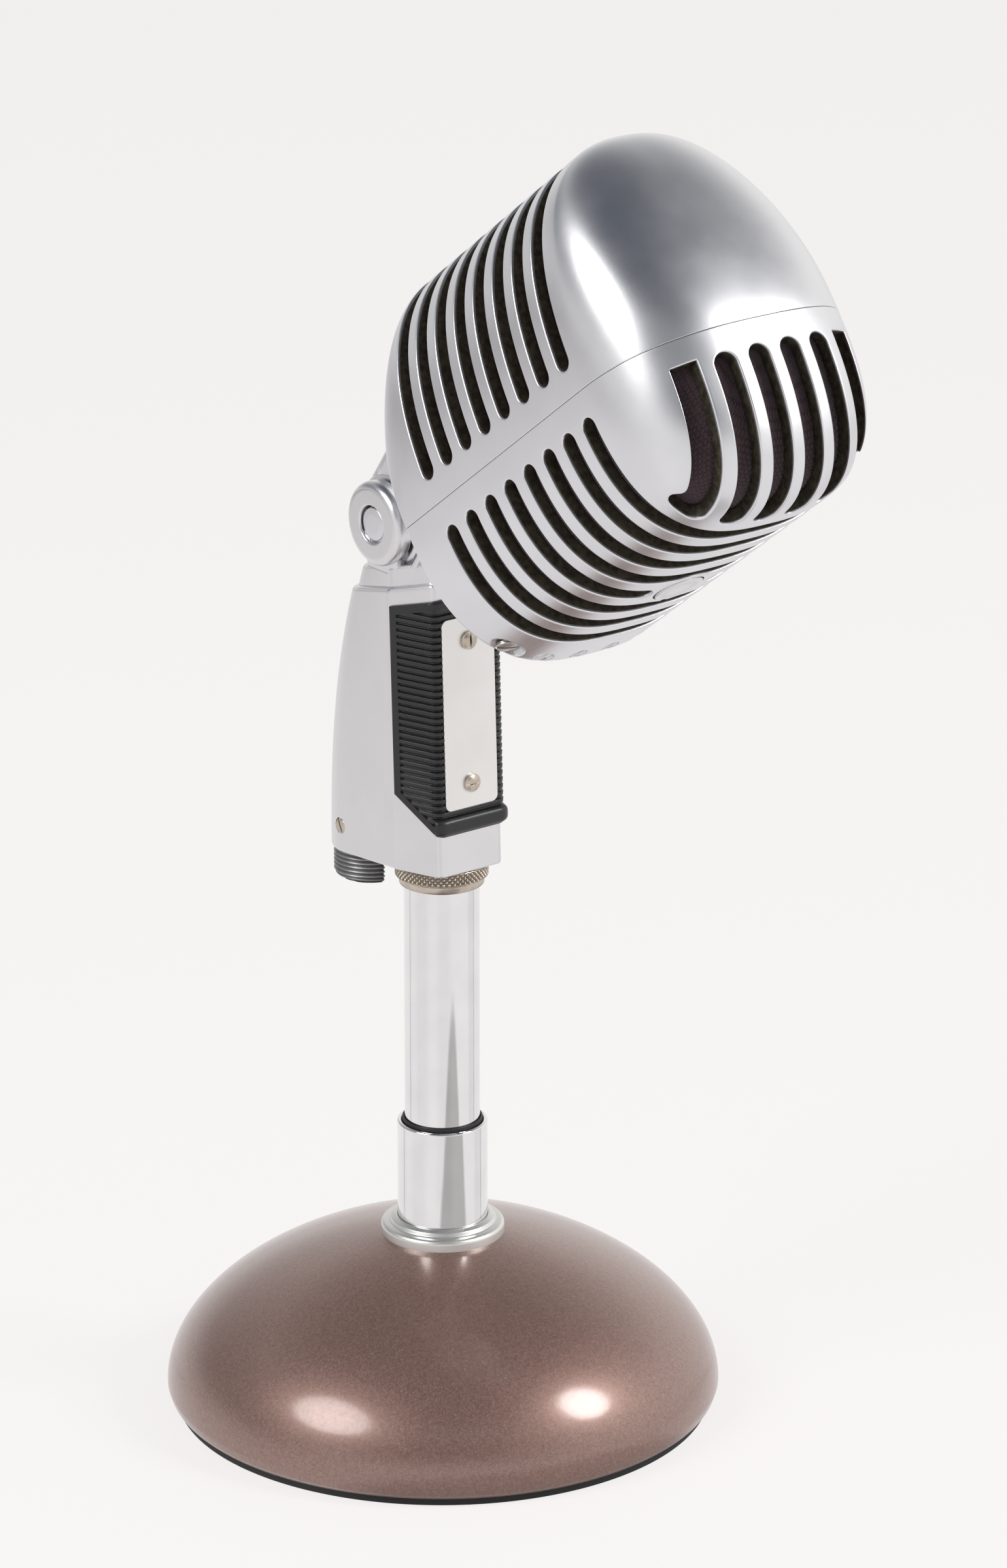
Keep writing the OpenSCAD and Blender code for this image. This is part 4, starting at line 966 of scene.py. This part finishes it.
def insertShape():
    side = mount["sideHalf"]
    ends = -mount["frontY"] + mount["chamferY"] - insert["sideIn"]
    corner = np.array([mount["frontHalf"], -mount["frontY"]])
    stop = np.array([side, -mount["frontY"] + mount["chamferY"]])
    stop = corner + (stop - corner) * (ends - corner[1]) / (stop[1] - corner[1])
    path = rounded([stop * (-1, 1), corner * (-1, 1), corner, stop], mount["corner"], 12)
    length = np.concatenate([[0], np.cumsum(np.linalg.norm(np.diff(path, axis=0), axis=1))])
    total = length[-1]
    rim = [0, 0.06, 0.14, 0.24, 0.36, 0.5, 0.9, 1.3, 1.55, 1.7, 1.8, 1.9, 2.1]
    lipEnds = total / 2 - insert["lipHalf"] + np.array([-0.5, -0.4, -0.25, -0.1, 0.1, 0.3])
    s = np.unique(np.concatenate([rim, lipEnds, np.linspace(2.1, total / 2, 40)]))
    s = np.concatenate([s, total - s[-2::-1]])
    x = np.interp(s, length, path[:, 0])
    y = np.interp(s, length, path[:, 1])
    normal = unit(np.stack([np.gradient(y, s), -np.gradient(x, s)], axis=1))
    rimT = np.array([0, 0.06, 0.14, 0.24, 0.36, 0.5])
    rowCount = 520
    outer = []
    for k in range(-6, rowCount + 7):
        low = insert["foot"] + (y + mount["frontY"]) * insert["rise"]
        high = mount["shoulder"] - insert["gap"] - (y + mount["frontY"]) * mount["fall"]
        if k < 0:
            z = low + rimT[k + 6]
        elif k > rowCount:
            z = high - rimT[rowCount + 6 - k]
        else:
            z = low + 0.5 + (high - low - 1.0) * k / rowCount
        fromEdge = np.minimum.reduce([s, total - s, (z - low) * 0.9, (high - z) * 0.97])
        inwards = np.clip(fromEdge / insert["rim"], 0, 1)
        rimRound = insert["proud"] - insert["rim"] * (1 - np.sqrt(1 - (1 - inwards) ** 2))
        ribs = insert["floor"] + insert["ribHigh"] * ribForm((z - insert["foot"]) / insert["ribPitch"])
        frame = 1 - softStep(fromEdge, insert["frame"], insert["frame"] + 0.22)
        proud = ribs + (rimRound - ribs) * frame
        lipAcross = softStep(insert["lipHalf"] - np.abs(s - total / 2), -0.5, 0.3)
        lipUp = 2 * (z - insert["foot"]) - insert["lipFoot"] - insert["lipTop"]
        lipUp = lipUp / (insert["lipTop"] - insert["lipFoot"])
        lipRound = np.clip(1 - np.abs(lipUp) ** 3.2, 0, 1) ** 0.4
        proud = np.maximum(proud, lipAcross * lipRound * insert["lipProud"])
        lean = mount["frontLean"] * z / mount["shoulder"]
        outer.append(np.stack([x + normal[:, 0] * proud, y + lean + normal[:, 1] * proud, z], axis=1))
    outer = np.array(outer)
    rowsOut, cols = outer.shape[:2]
    inner = outer.copy()
    inner[:, :, :2] = np.stack([x - normal[:, 0] * 0.5, y - normal[:, 1] * 0.5], axis=1)[None]
    inner[:, :, 1] += mount["frontLean"] * outer[:, :, 2] / mount["shoulder"]
    shape = Shape()
    front = shape.add(outer)
    back = shape.add(inner)
    shape.face(gridFaces(rowsOut, cols, front))
    shape.face(gridFaces(rowsOut, cols, back)[:, ::-1])
    index = np.arange(rowsOut * cols).reshape(rowsOut, cols)
    for line in (index[0, ::-1], index[-1], index[:, 0], index[::-1, -1]):
        p, q = line[:-1], line[1:]
        shape.face(np.stack([front + p, front + q, back + q, back + p], axis=1))
    return shape


finishPiece("insert_panel.ribbed", insertShape(), onMount)

plate = {"half": 6.7, "foot": 14.4, "tall": 41.0, "thick": 0.5, "corner": 1.4, "edge": 0.14, "screwIn": 5.2,
         "proud": 0.335}
plateMiddle = plate["foot"] + plate["tall"] / 2
lean = mount["frontLean"] / mount["shoulder"]
plateY = lean * plateMiddle - mount["frontY"] - plate["proud"]
onPlate = (onMount @ Matrix.Translation((0, plateY, plateMiddle))
           @ Matrix.Rotation(pi / 2 - math.atan(lean), 4, "X"))
halfTall = plate["tall"] / 2
corners = roundedPlan((-plate["half"], -halfTall), (plate["half"], halfTall), plate["corner"], 8)
grow = unit(corners - np.sign(corners) * (np.array([plate["half"], halfTall]) - plate["corner"]))
rows = [np.hstack([corners, np.full((len(corners), 1), -0.2)])]
for a in np.linspace(0, pi / 2, 5):
    height = plate["thick"] - plate["edge"] * (1 - math.sin(a))
    rows.append(np.hstack([corners - grow * plate["edge"] * (1 - math.cos(a)),
                           np.full((len(corners), 1), height)]))
finishPiece("nameplate.blank", loft(Shape(), rows), onPlate)
plateHead = {"radius": 1.95, "tall": 1.0, "dome": 0.62, "slotWidth": 0.5, "slotDeep": 0.5}
screws = Shape()
for side in (-1, 1):
    place = (Matrix.Translation((0, side * (halfTall - plate["screwIn"]), plate["thick"]))
             @ Matrix.Rotation(pi / 2 if side > 0 else 0, 4, "Z"))
    screws.join(slottedHead(**plateHead), place)
finishPiece("nameplate_screws.slotted", screws, onPlate)

fork = {"collarTall": 4.6, "collarInset": 1.1, "collarRim": 0.9, "ear": 8.9, "earIn": 9.1, "earOut": 13.0,
        "earRound": 3.0, "recess": 3.95, "legIn": 7.4, "legOut": 10.3, "legLean": 1.9, "legY": 6.6,
        "legHalf": 5.4, "legGrow": 1.5, "legRound": 1.25, "saddleIn": 10.75, "saddleOut": 12.3,
        "saddleHalf": 8.95, "saddleFrom": math.radians(-158), "saddleTo": math.radians(-38)}
pivotUp = pivot.z - mountFoot


def roundedBox(low, high, z, corner):
    # four-sided section with round corners, between two corners of the plan
    plan = roundedPlan(low, high, corner, 6)
    return np.hstack([plan, np.full((len(plan), 1), z)])


tall, rim = fork["collarTall"], fork["collarRim"]
rows = [mountRow(1, fork["collarInset"], lift) for lift in (-0.6, 0.3, 1.2, 2.2, 3.0, tall - rim)]
for a in np.linspace(0.15, pi / 2, 6):
    rows.append(mountRow(1, fork["collarInset"] + rim * (1 - math.cos(a)), tall - rim * (1 - math.sin(a))))
rows += [mountRow(1, inset, tall) for inset in (3.5, 6.0)]
shape = loft(Shape(), rows)
outline = rounded([(fork["recess"], fork["earIn"]), (fork["recess"], fork["earOut"]),
                   (fork["ear"], fork["earOut"]), (fork["ear"], fork["earIn"])],
                  [0, 0.5, fork["earRound"], 0.5], 12, True)
legFoot = mount["shoulder"] - 0.5
legTall = pivotUp - 1.5 - mount["shoulder"]
for side in (-1, 1):
    turn = Matrix.Translation((0, pivot.y, pivotUp)) @ Matrix.Rotation(side * pi / 2, 4, "Y")
    shape.join(lathe(outline, 160, True), turn)
    rows = []
    for t in np.linspace(0, 1, 13):
        ease = softStep(t, 0, 1)
        lean = fork["legLean"] * ease
        x = sorted((side * (fork["legIn"] + lean), side * (fork["legOut"] + lean)))
        deep = fork["legHalf"] + fork["legGrow"] * ease
        rows.append(roundedBox((x[0], fork["legY"] - deep), (x[1], fork["legY"] + deep),
                               legFoot + legTall * t, fork["legRound"]))
    shape.join(loft(Shape(), rows))
rows = []
middle = (fork["saddleIn"] + fork["saddleOut"]) / 2
for a in np.linspace(fork["saddleFrom"], fork["saddleTo"], 49):
    share = min(1.0, 0.25 + 6 * min(a - fork["saddleFrom"], fork["saddleTo"] - a))  # thinner at both ends
    half = (fork["saddleOut"] - fork["saddleIn"]) * math.sqrt(share) / 2
    across = fork["saddleHalf"]
    plan = roundedPlan((-across, middle - half), (across, middle + half), 0.5, 5)
    rows.append(np.stack([plan[:, 0], pivot.y + plan[:, 1] * math.cos(a),
                          pivotUp + plan[:, 1] * math.sin(a)], axis=1))
shape.join(loft(Shape(), rows))
finishPiece("swivel_fork.polished", shape, onMount, "satinPlain")

knuckle = {"barrel": 10.2, "half": 8.5, "rim": 1.3,
           "neckUp": (-1.0, 4.0, 10.0, 17.0, 24.0, 30.0, 32.4),
           "neckHalf": (8.2, 8.3, 8.4, 8.5, 8.7, 8.9, 8.9),
           "neckFront": (7.5, 7.5, 7.55, 7.8, 8.2, 8.6, 8.6),
           "neckBack": (11.0, 12.6, 14.6, 16.2, 17.9, 19.2, 18.6),
           "neckRound": (2.6, 2.8, 3.0, 3.0, 3.0, 3.0, 3.0)}
edges = [0, knuckle["rim"], knuckle["rim"], 0]
barrel = disc(knuckle["barrel"], -knuckle["half"], knuckle["half"], edges, 8, 160)
shape = Shape().join(barrel, Matrix.Rotation(pi / 2, 4, "Y"))
rows = []
for k, up in enumerate(knuckle["neckUp"]):
    x = knuckle["neckHalf"][k]
    rows.append(roundedBox((-x, -knuckle["neckFront"][k]), (x, knuckle["neckBack"][k]), up,
                           knuckle["neckRound"][k]))
shape.join(loft(Shape(), rows))
onPivot = Matrix.Translation(pivot)
finishPiece("head_knuckle.polished", shape, onPivot @ Matrix.Rotation(headTilt, 4, "X"), "satinPlain")


def paintedShade(shape):
    # the same shape, painted fully dark as painted shade, as if it lay deep in a recess
    shape.depths = [np.ones(len(d)) for d in shape.depths]
    return shape


pinCap = {"radius": 3.5, "top": 12.45, "foot": 11.0, "dome": 0.1, "wellTop": 11.1, "wellFoot": 10.8}
caps = Shape()
outline = rounded([(0, pinCap["top"] + pinCap["dome"]), (pinCap["radius"] * 0.6, pinCap["top"] + 0.08),
                   (pinCap["radius"], pinCap["top"]), (pinCap["radius"], pinCap["foot"]),
                   (0, pinCap["foot"])], [0, 0.5, 0.25, 0.1, 0])
for side in (-1, 1):
    turn = Matrix.Rotation(side * pi / 2, 4, "Y")
    caps.join(lathe(outline, 96), turn)
    # a dark disc behind the cap: painted shade in the ring round the plug
    well = disc(fork["recess"] + 0.02, pinCap["wellTop"], pinCap["wellFoot"], turns=96)
    caps.join(paintedShade(well), turn)
finishPiece("pin_caps.plug", caps, onPivot)

setScrew = {"hole": 1.95, "holeDeep": 0.5, "proud": 0.02,
            "head": {"radius": 1.62, "tall": 0.35, "dome": 0.12, "slotWidth": 0.45, "slotDeep": 0.3,
                     "edge": 0.12}}
seat = (lowest("connector_set_screw") + highest("connector_set_screw")) / 2
seat.x = -mount["rearRadius"] + setScrew["proud"]
# a dark disc round the screw's head: painted shade of the hole it sits in
screw = Shape().join(paintedShade(disc(setScrew["hole"], setScrew["proud"], -setScrew["holeDeep"], turns=64)))
screw.join(slottedHead(**setScrew["head"]), Matrix.Rotation(0.5, 4, "Z"))
inSeat = Matrix.Translation(seat) @ Matrix.Rotation(-pi / 2, 4, "Y")
finishPiece("connector_set_screw.slotted", screw, inSeat)

plug = {"radius": 7.94, "tall": 6.6, "y": 24.4, "pitch": 0.94, "threadDeep": 0.5, "wall": 1.4, "keyway": 4.2,
        "neckIn": 6.4, "neckOut": 7.0, "neckTall": 15}
angle = np.linspace(pi / 2, pi / 2 + 2 * pi, 181)
z = np.linspace(0, plug["tall"], 100)
turn = z[:, None] / plug["pitch"] - angle[None, :] / (2 * pi)
groove = (np.abs((turn % 1) - 0.5) * 2) ** 1.3
ends = softStep(z, 0, 0.5) * softStep(plug["tall"] - z, -0.2, 0.3)
radius = plug["radius"] - plug["threadDeep"] * (groove * ends[:, None] + (1 - ends[:, None]) * 0.8)
thread = aboutAxis(radius, angle, z[:, None])


def keyway(p):
    return np.where(p[:, 1] < 0, np.abs(p[:, 0]) - plug["keyway"] / 2, 50.0)


shape = Shape()
carve(shape, thread, [{"gap": keyway, "edge": 0.12}], plug["wall"], (0, 0, plug["tall"] / 2),
      rim=("firstRow", "lastRow"), roundSteps=3)
shape.depths[0] = ((plug["radius"] - radius) / plug["threadDeep"] * 0.5).ravel()
neckTop = plug["tall"] + plug["neckTall"]
shape.join(pipe(plug["tall"] - 0.3, neckTop, plug["neckIn"], plug["neckOut"], 0, 5, 96))
inPlug = onMount @ Matrix.Translation((0, plug["y"], -mount["rearDrop"] - plug["tall"]))
finishPiece("connector_shell.threaded", shape, inPlug)
print("mount made")


# Stand: knurled lock ring, plated tube and sleeve, domed base
ring = {"radius": 9.8, "collar": 1.6, "collarIn": 0.9, "band": 3.1, "bandIn": 0.32, "bandEdge": 0.34,
        "across": 52, "deep": 0.34, "pitchUp": 1.15, "bore": 8.05}
ringFoot = lowest("lock_ring").z
turns = ring["across"] * 10
angle = np.linspace(0, 2 * pi, turns, endpoint=False)
step = ring["radius"] - ring["collarIn"]
profile = rounded([(step, 0), (step, ring["collar"]), (ring["radius"] - 0.35, ring["collar"])],
                  [0, 0.12, 0], 3)
bandUp = np.linspace(ring["bandEdge"], ring["band"] - ring["bandEdge"], 29)
bandTop = ring["collar"] + ring["band"]
low = ring["radius"] - ring["bandIn"]
edgeLow = [(low, ring["collar"] + 0.02), (ring["radius"] - 0.05, ring["collar"] + 0.26)]
edgeHigh = [(ring["radius"] - 0.05, bandTop - 0.26), (low, bandTop)]
band = [(ring["radius"], ring["collar"] + u) for u in bandUp]
outline = np.concatenate([[(ring["bore"], 0)], profile, edgeLow, band, edgeHigh, [(ring["bore"], bandTop)]])
radius = np.repeat(outline[:, :1], turns, axis=1)
depth = np.zeros_like(radius)
start = 1 + len(profile) + 2
for k, u in enumerate(bandUp):
    a = angle * ring["across"] / (2 * pi)
    v = u / ring["pitchUp"]
    left = np.abs(((a + v) % 1) - 0.5) * 2
    right = np.abs(((a - v) % 1) - 0.5) * 2
    cut = np.clip(np.maximum(left, right), 0.25, 1) - 0.25
    depth[start + k] = cut / 0.75 * 0.6
    radius[start + k] -= cut / 0.75 * ring["deep"]
shape = Shape()
shape.add(aboutAxis(radius, angle, outline[:, 1:]), depth.ravel())
shape.face(gridFaces(len(outline), turns, 0, wrapRows=True, wrapCols=True))
finishPiece("lock_ring.knurled", shape, Matrix.Translation((0, 0, ringFoot)))

tube = {"radius": 7.9375, "bore": 6.7, "sleeve": 9.525, "sleeveIn": 8.45, "linerIn": 8.02,
        "tubeEdge": 0.35, "sleeveEdge": 0.48, "linerEdge": 0.16, "linerGap": 0.06,
        "flange": 13.05, "flangeTall": 4.3, "flangeIn": 9.6}


shape = pipe(lowest("stand_tube").z, highest("stand_tube").z, tube["bore"], tube["radius"],
             tube["tubeEdge"], 5, 256)
finishPiece("stand_tube.plated", shape, onStand)
shape = pipe(lowest("sleeve").z, highest("sleeve").z, tube["sleeveIn"], tube["sleeve"],
             tube["sleeveEdge"], 6, 256)
finishPiece("sleeve.plated", shape, onStand)
shape = pipe(lowest("sleeve_liner").z + tube["linerGap"], highest("sleeve_liner").z, tube["linerIn"],
             tube["sleeveIn"], tube["linerEdge"], 4, 160)
finishPiece("sleeve_liner.lip", shape, onStand)
r, tall = tube["flange"], tube["flangeTall"]
outline = rounded([(tube["flangeIn"], 0), (r, 0), (r, tall * 0.66), (r - tall * 0.42, tall * 0.72),
                   (r - tall * 0.5, tall * 0.9), (tube["flangeIn"] + 0.4, tall), (tube["flangeIn"], tall)],
                  [0.05, 0.1, tall * 0.3, 0.35, 0.35, 0.25, 0.05], 7, True)
onFlange = Matrix.Translation((0, 0, lowest("flange_ring").z))
finishPiece("flange_ring.turned", lathe(outline, 224, True), onFlange)

dome = {"radius": 58.65, "tall": 39.6, "belly": 4.4, "across": 1.6, "up": 1.93, "footIn": 1.6,
        "padTall": 1.6, "padIn": 2.0, "wall": 4.0}
a = np.linspace(0, pi / 2, 90)
height = dome["belly"] + (dome["tall"] - dome["belly"]) * np.cos(a).clip(0) ** (2 / dome["up"])
skin = np.stack([dome["radius"] * np.sin(a) ** (2 / dome["across"]), height], axis=1)
holeRadius = tube["flange"] - 1.5
skin = skin[skin[:, 0] > holeRadius]
edge = rounded([skin[-1], (dome["radius"] - 0.5, (dome["belly"] + dome["padTall"]) / 2 - 0.3),
                (dome["radius"] - dome["footIn"], dome["padTall"]),
                (dome["radius"] - dome["wall"], dome["padTall"])], [0, 1.2, 0.4, 0.2], 5)
inside = skin[::-6] * (1 - dome["wall"] / dome["radius"]) - (0, 1.0)
inside = inside[inside[:, 1] > dome["padTall"] + 0.2]
outline = np.concatenate([skin, edge[1:], inside, [(holeRadius, dome["tall"] - dome["wall"] - 2)]])
finishPiece("base_casting.enamelled", lathe(outline, 288, True), onStand)
shape = disc(dome["radius"] - dome["padIn"], dome["padTall"], 0, [0, 0.2, 0.3, 0], 4)
finishPiece("base_pad.felted", shape, onStand)
print("stand made")


# Floor, light and camera
light = {"keyPower": 7.4, "fillPower": 7.8, "distance": 1.35, "aim": (0, 0, 0.16), "roomDark": 0.1}
floorMesh = bpy.data.meshes.new("floor")
floorMesh.from_pydata([(-8, -8, 0), (8, -8, 0), (8, 8, 0), (-8, 8, 0)], [], [(0, 1, 2, 3)])
floor = bpy.data.objects.new("floor", floorMesh)
bpy.context.scene.collection.objects.link(floor)
floorPaint = Paint("paleFloor", Roughness=0.9, Specular_IOR_Level=0.1, Base_Color=(0.86, 0.85, 0.845))
# In reflections only, in metres and radians, painted into the floor's colour for glossy rays: a painted
# shadow of the head in front of the base, thin dark lines painted for the edges of the paper round it, and
# painted shade for the dim back left of the room
paintedReflectionPlaces = {"shadowX": -0.02, "shadowY": -0.13, "shadowAcross": 16, "shadowAlong": 9, "shadowDark": 0.6,
            "edges": ((1.27, 0.05, 0.5), (1.02, 0.22, 0.14), (-2.6, 0.06, 0.35), (-1.75, 0.5, 0.1),
                      (-0.55, 0.45, 0.08)), "backDark": 0.75, "dark": (0.16, 0.14, 0.14)}
isCamera = floorPaint.node("ShaderNodeLightPath", output="Is Camera Ray")
isGlossy = floorPaint.node("ShaderNodeLightPath", output="Is Glossy Ray")
isThrough = floorPaint.node("ShaderNodeLightPath", output="Is Transmission Ray")
seen = (isCamera + isGlossy + isThrough).clamped(0, 1)
spot = floorPaint.node("ShaderNodeTexCoord", output="Object")
spotX = floorPaint.node("ShaderNodeSeparateXYZ", None, {0: spot}, "X")
spotY = floorPaint.node("ShaderNodeSeparateXYZ", None, {0: spot}, "Y")
ragged = floorPaint.noise(floorPaint.place(), 0.05, 3.0) * 0.25
across = (spotX - paintedReflectionPlaces["shadowX"]) * paintedReflectionPlaces["shadowAcross"]
along = (spotY - paintedReflectionPlaces["shadowY"]) * paintedReflectionPlaces["shadowAlong"]
shadow = (1.03 - across * across - along * along + ragged).clamped(0.0, 0.35)
angle = spotX.sum("ARCTAN2", spotX, 0 - spotY)
paintedPaperEdges = 0
for middle, wide, strong in paintedReflectionPlaces["edges"]:
    paintedPaperEdges = paintedPaperEdges + (1 - (angle - middle).size() * (1 / wide)).clamped(0.0, 0.6) * strong
distance = spotX.sum("SQRT", spotX * spotX + spotY * spotY)
paintedDimBackLeft = (spotY * 0.85 - spotX * 0.53).clamped(0.45, 1.5)
paintedDimBackLeft = paintedDimBackLeft * (1.2 - (spotX + spotY * 0.55).size() * 0.5).clamped(0, 1)
paintedReflectionShade = shadow * paintedReflectionPlaces["shadowDark"] + paintedPaperEdges * distance.clamped(0.07, 0.12)
paintedReflectionShade = (paintedReflectionShade + paintedDimBackLeft * paintedReflectionPlaces["backDark"]).clamped(0, 1)
# the floor's colour, with the painted reflection shade mixed in for glossy rays only
shown = floorPaint.mix(isGlossy * paintedReflectionShade, (1.0, 0.975, 0.97), paintedReflectionPlaces["dark"])
paper = floorPaint.node("ShaderNodeEmission", None, {"Color": shown, "Strength": 1.0})
plain = Wire(floorPaint, floorPaint.shader.outputs[0])
skin = floorPaint.node("ShaderNodeMixShader", None, {0: seen * 0.8, 1: plain, 2: paper})
floorOutput = next(n for n in floorPaint.tree.nodes if n.type == "OUTPUT_MATERIAL")
floorPaint.put(floorOutput.inputs[0], skin)
floorMesh.materials.append(floorPaint.material)

world = bpy.data.worlds.new("room")
bpy.context.scene.world = world
world.use_nodes = True


class Room(Paint):  # the world's own nodes, through the same few methods
    def __init__(self, tree):
        self.tree = tree
        self.tree.nodes.clear()
        self.shader = self.tree.nodes.new("ShaderNodeBackground")
        output = self.tree.nodes.new("ShaderNodeOutputWorld")
        self.tree.links.new(self.shader.outputs[0], output.inputs[0])


room = Room(world.node_tree)
direction = room.node("ShaderNodeTexCoord", output="Generated")
up = room.node("ShaderNodeSeparateXYZ", None, {0: direction}, "Z")


def facing(way):
    # 1 along that way, falling to 0 across it
    return room.node("ShaderNodeVectorMath", {"operation": "DOT_PRODUCT"}, {0: direction, 1: way}, "Value")


# The room is dark overhead, in front above the paper, and low at the back left
overhead = up.clamped(0.36, 0.85)
front = facing((-0.605, -0.796, 0.0)).clamped(0.3, 0.9) * up.clamped(0.1, 0.4)
back = facing((-0.6, 0.8, 0.0)).clamped(0.35, 0.9) * up.clamped(-0.05, 0.25) * 0.85
shade = up.sum("MAXIMUM", up.sum("MAXIMUM", overhead, front), back)
dark = light["roomDark"]
colour = room.mix(shade, (1.0, 0.985, 0.965), (dark, dark * 1.12, dark * 1.35))
path = room.node("ShaderNodeLightPath", output="Is Camera Ray")
room.set(Color=room.mix(path, colour, (1.0, 0.99, 0.97)), Strength=1.0)


def softLamp(name, azimuth, elevation, power, size, tall, colour):
    lamp = bpy.data.lights.new(name, "AREA")
    lamp.shape = "ELLIPSE"
    lamp.size = size
    lamp.size_y = tall
    lamp.energy = power
    lamp.color = colour
    thing = bpy.data.objects.new(name, lamp)
    bpy.context.scene.collection.objects.link(thing)
    a, e = math.radians(azimuth), math.radians(elevation)
    target = Vector(light["aim"])
    way = Vector((math.sin(a) * math.cos(e), -math.cos(a) * math.cos(e), math.sin(e)))
    thing.location = target + light["distance"] * way
    thing.rotation_euler = (target - thing.location).to_track_quat("-Z", "Y").to_euler()


softLamp("leftBox", azimuth=-95, elevation=38, power=light["keyPower"], size=0.8, tall=0.6,
         colour=(1.0, 0.985, 0.975))
softLamp("rightBox", azimuth=38, elevation=36, power=light["fillPower"], size=0.45, tall=0.55,
         colour=(1.0, 0.985, 0.98))

camera = bpy.data.cameras.new("camera")
camera.sensor_fit = "VERTICAL"
camera.sensor_height = 36
camera.sensor_width = 36
camera.lens = 168.43
camera.clip_end = 50
eye = bpy.data.objects.new("camera", camera)
bpy.context.scene.collection.objects.link(eye)
eye.location = (-0.8661, -1.1395, 0.6449)
eye.rotation_euler = (pi / 2 - 0.3406, 0, -0.6589)
bpy.context.scene.camera = eye
bpy.context.scene.view_settings.view_transform = "Standard"
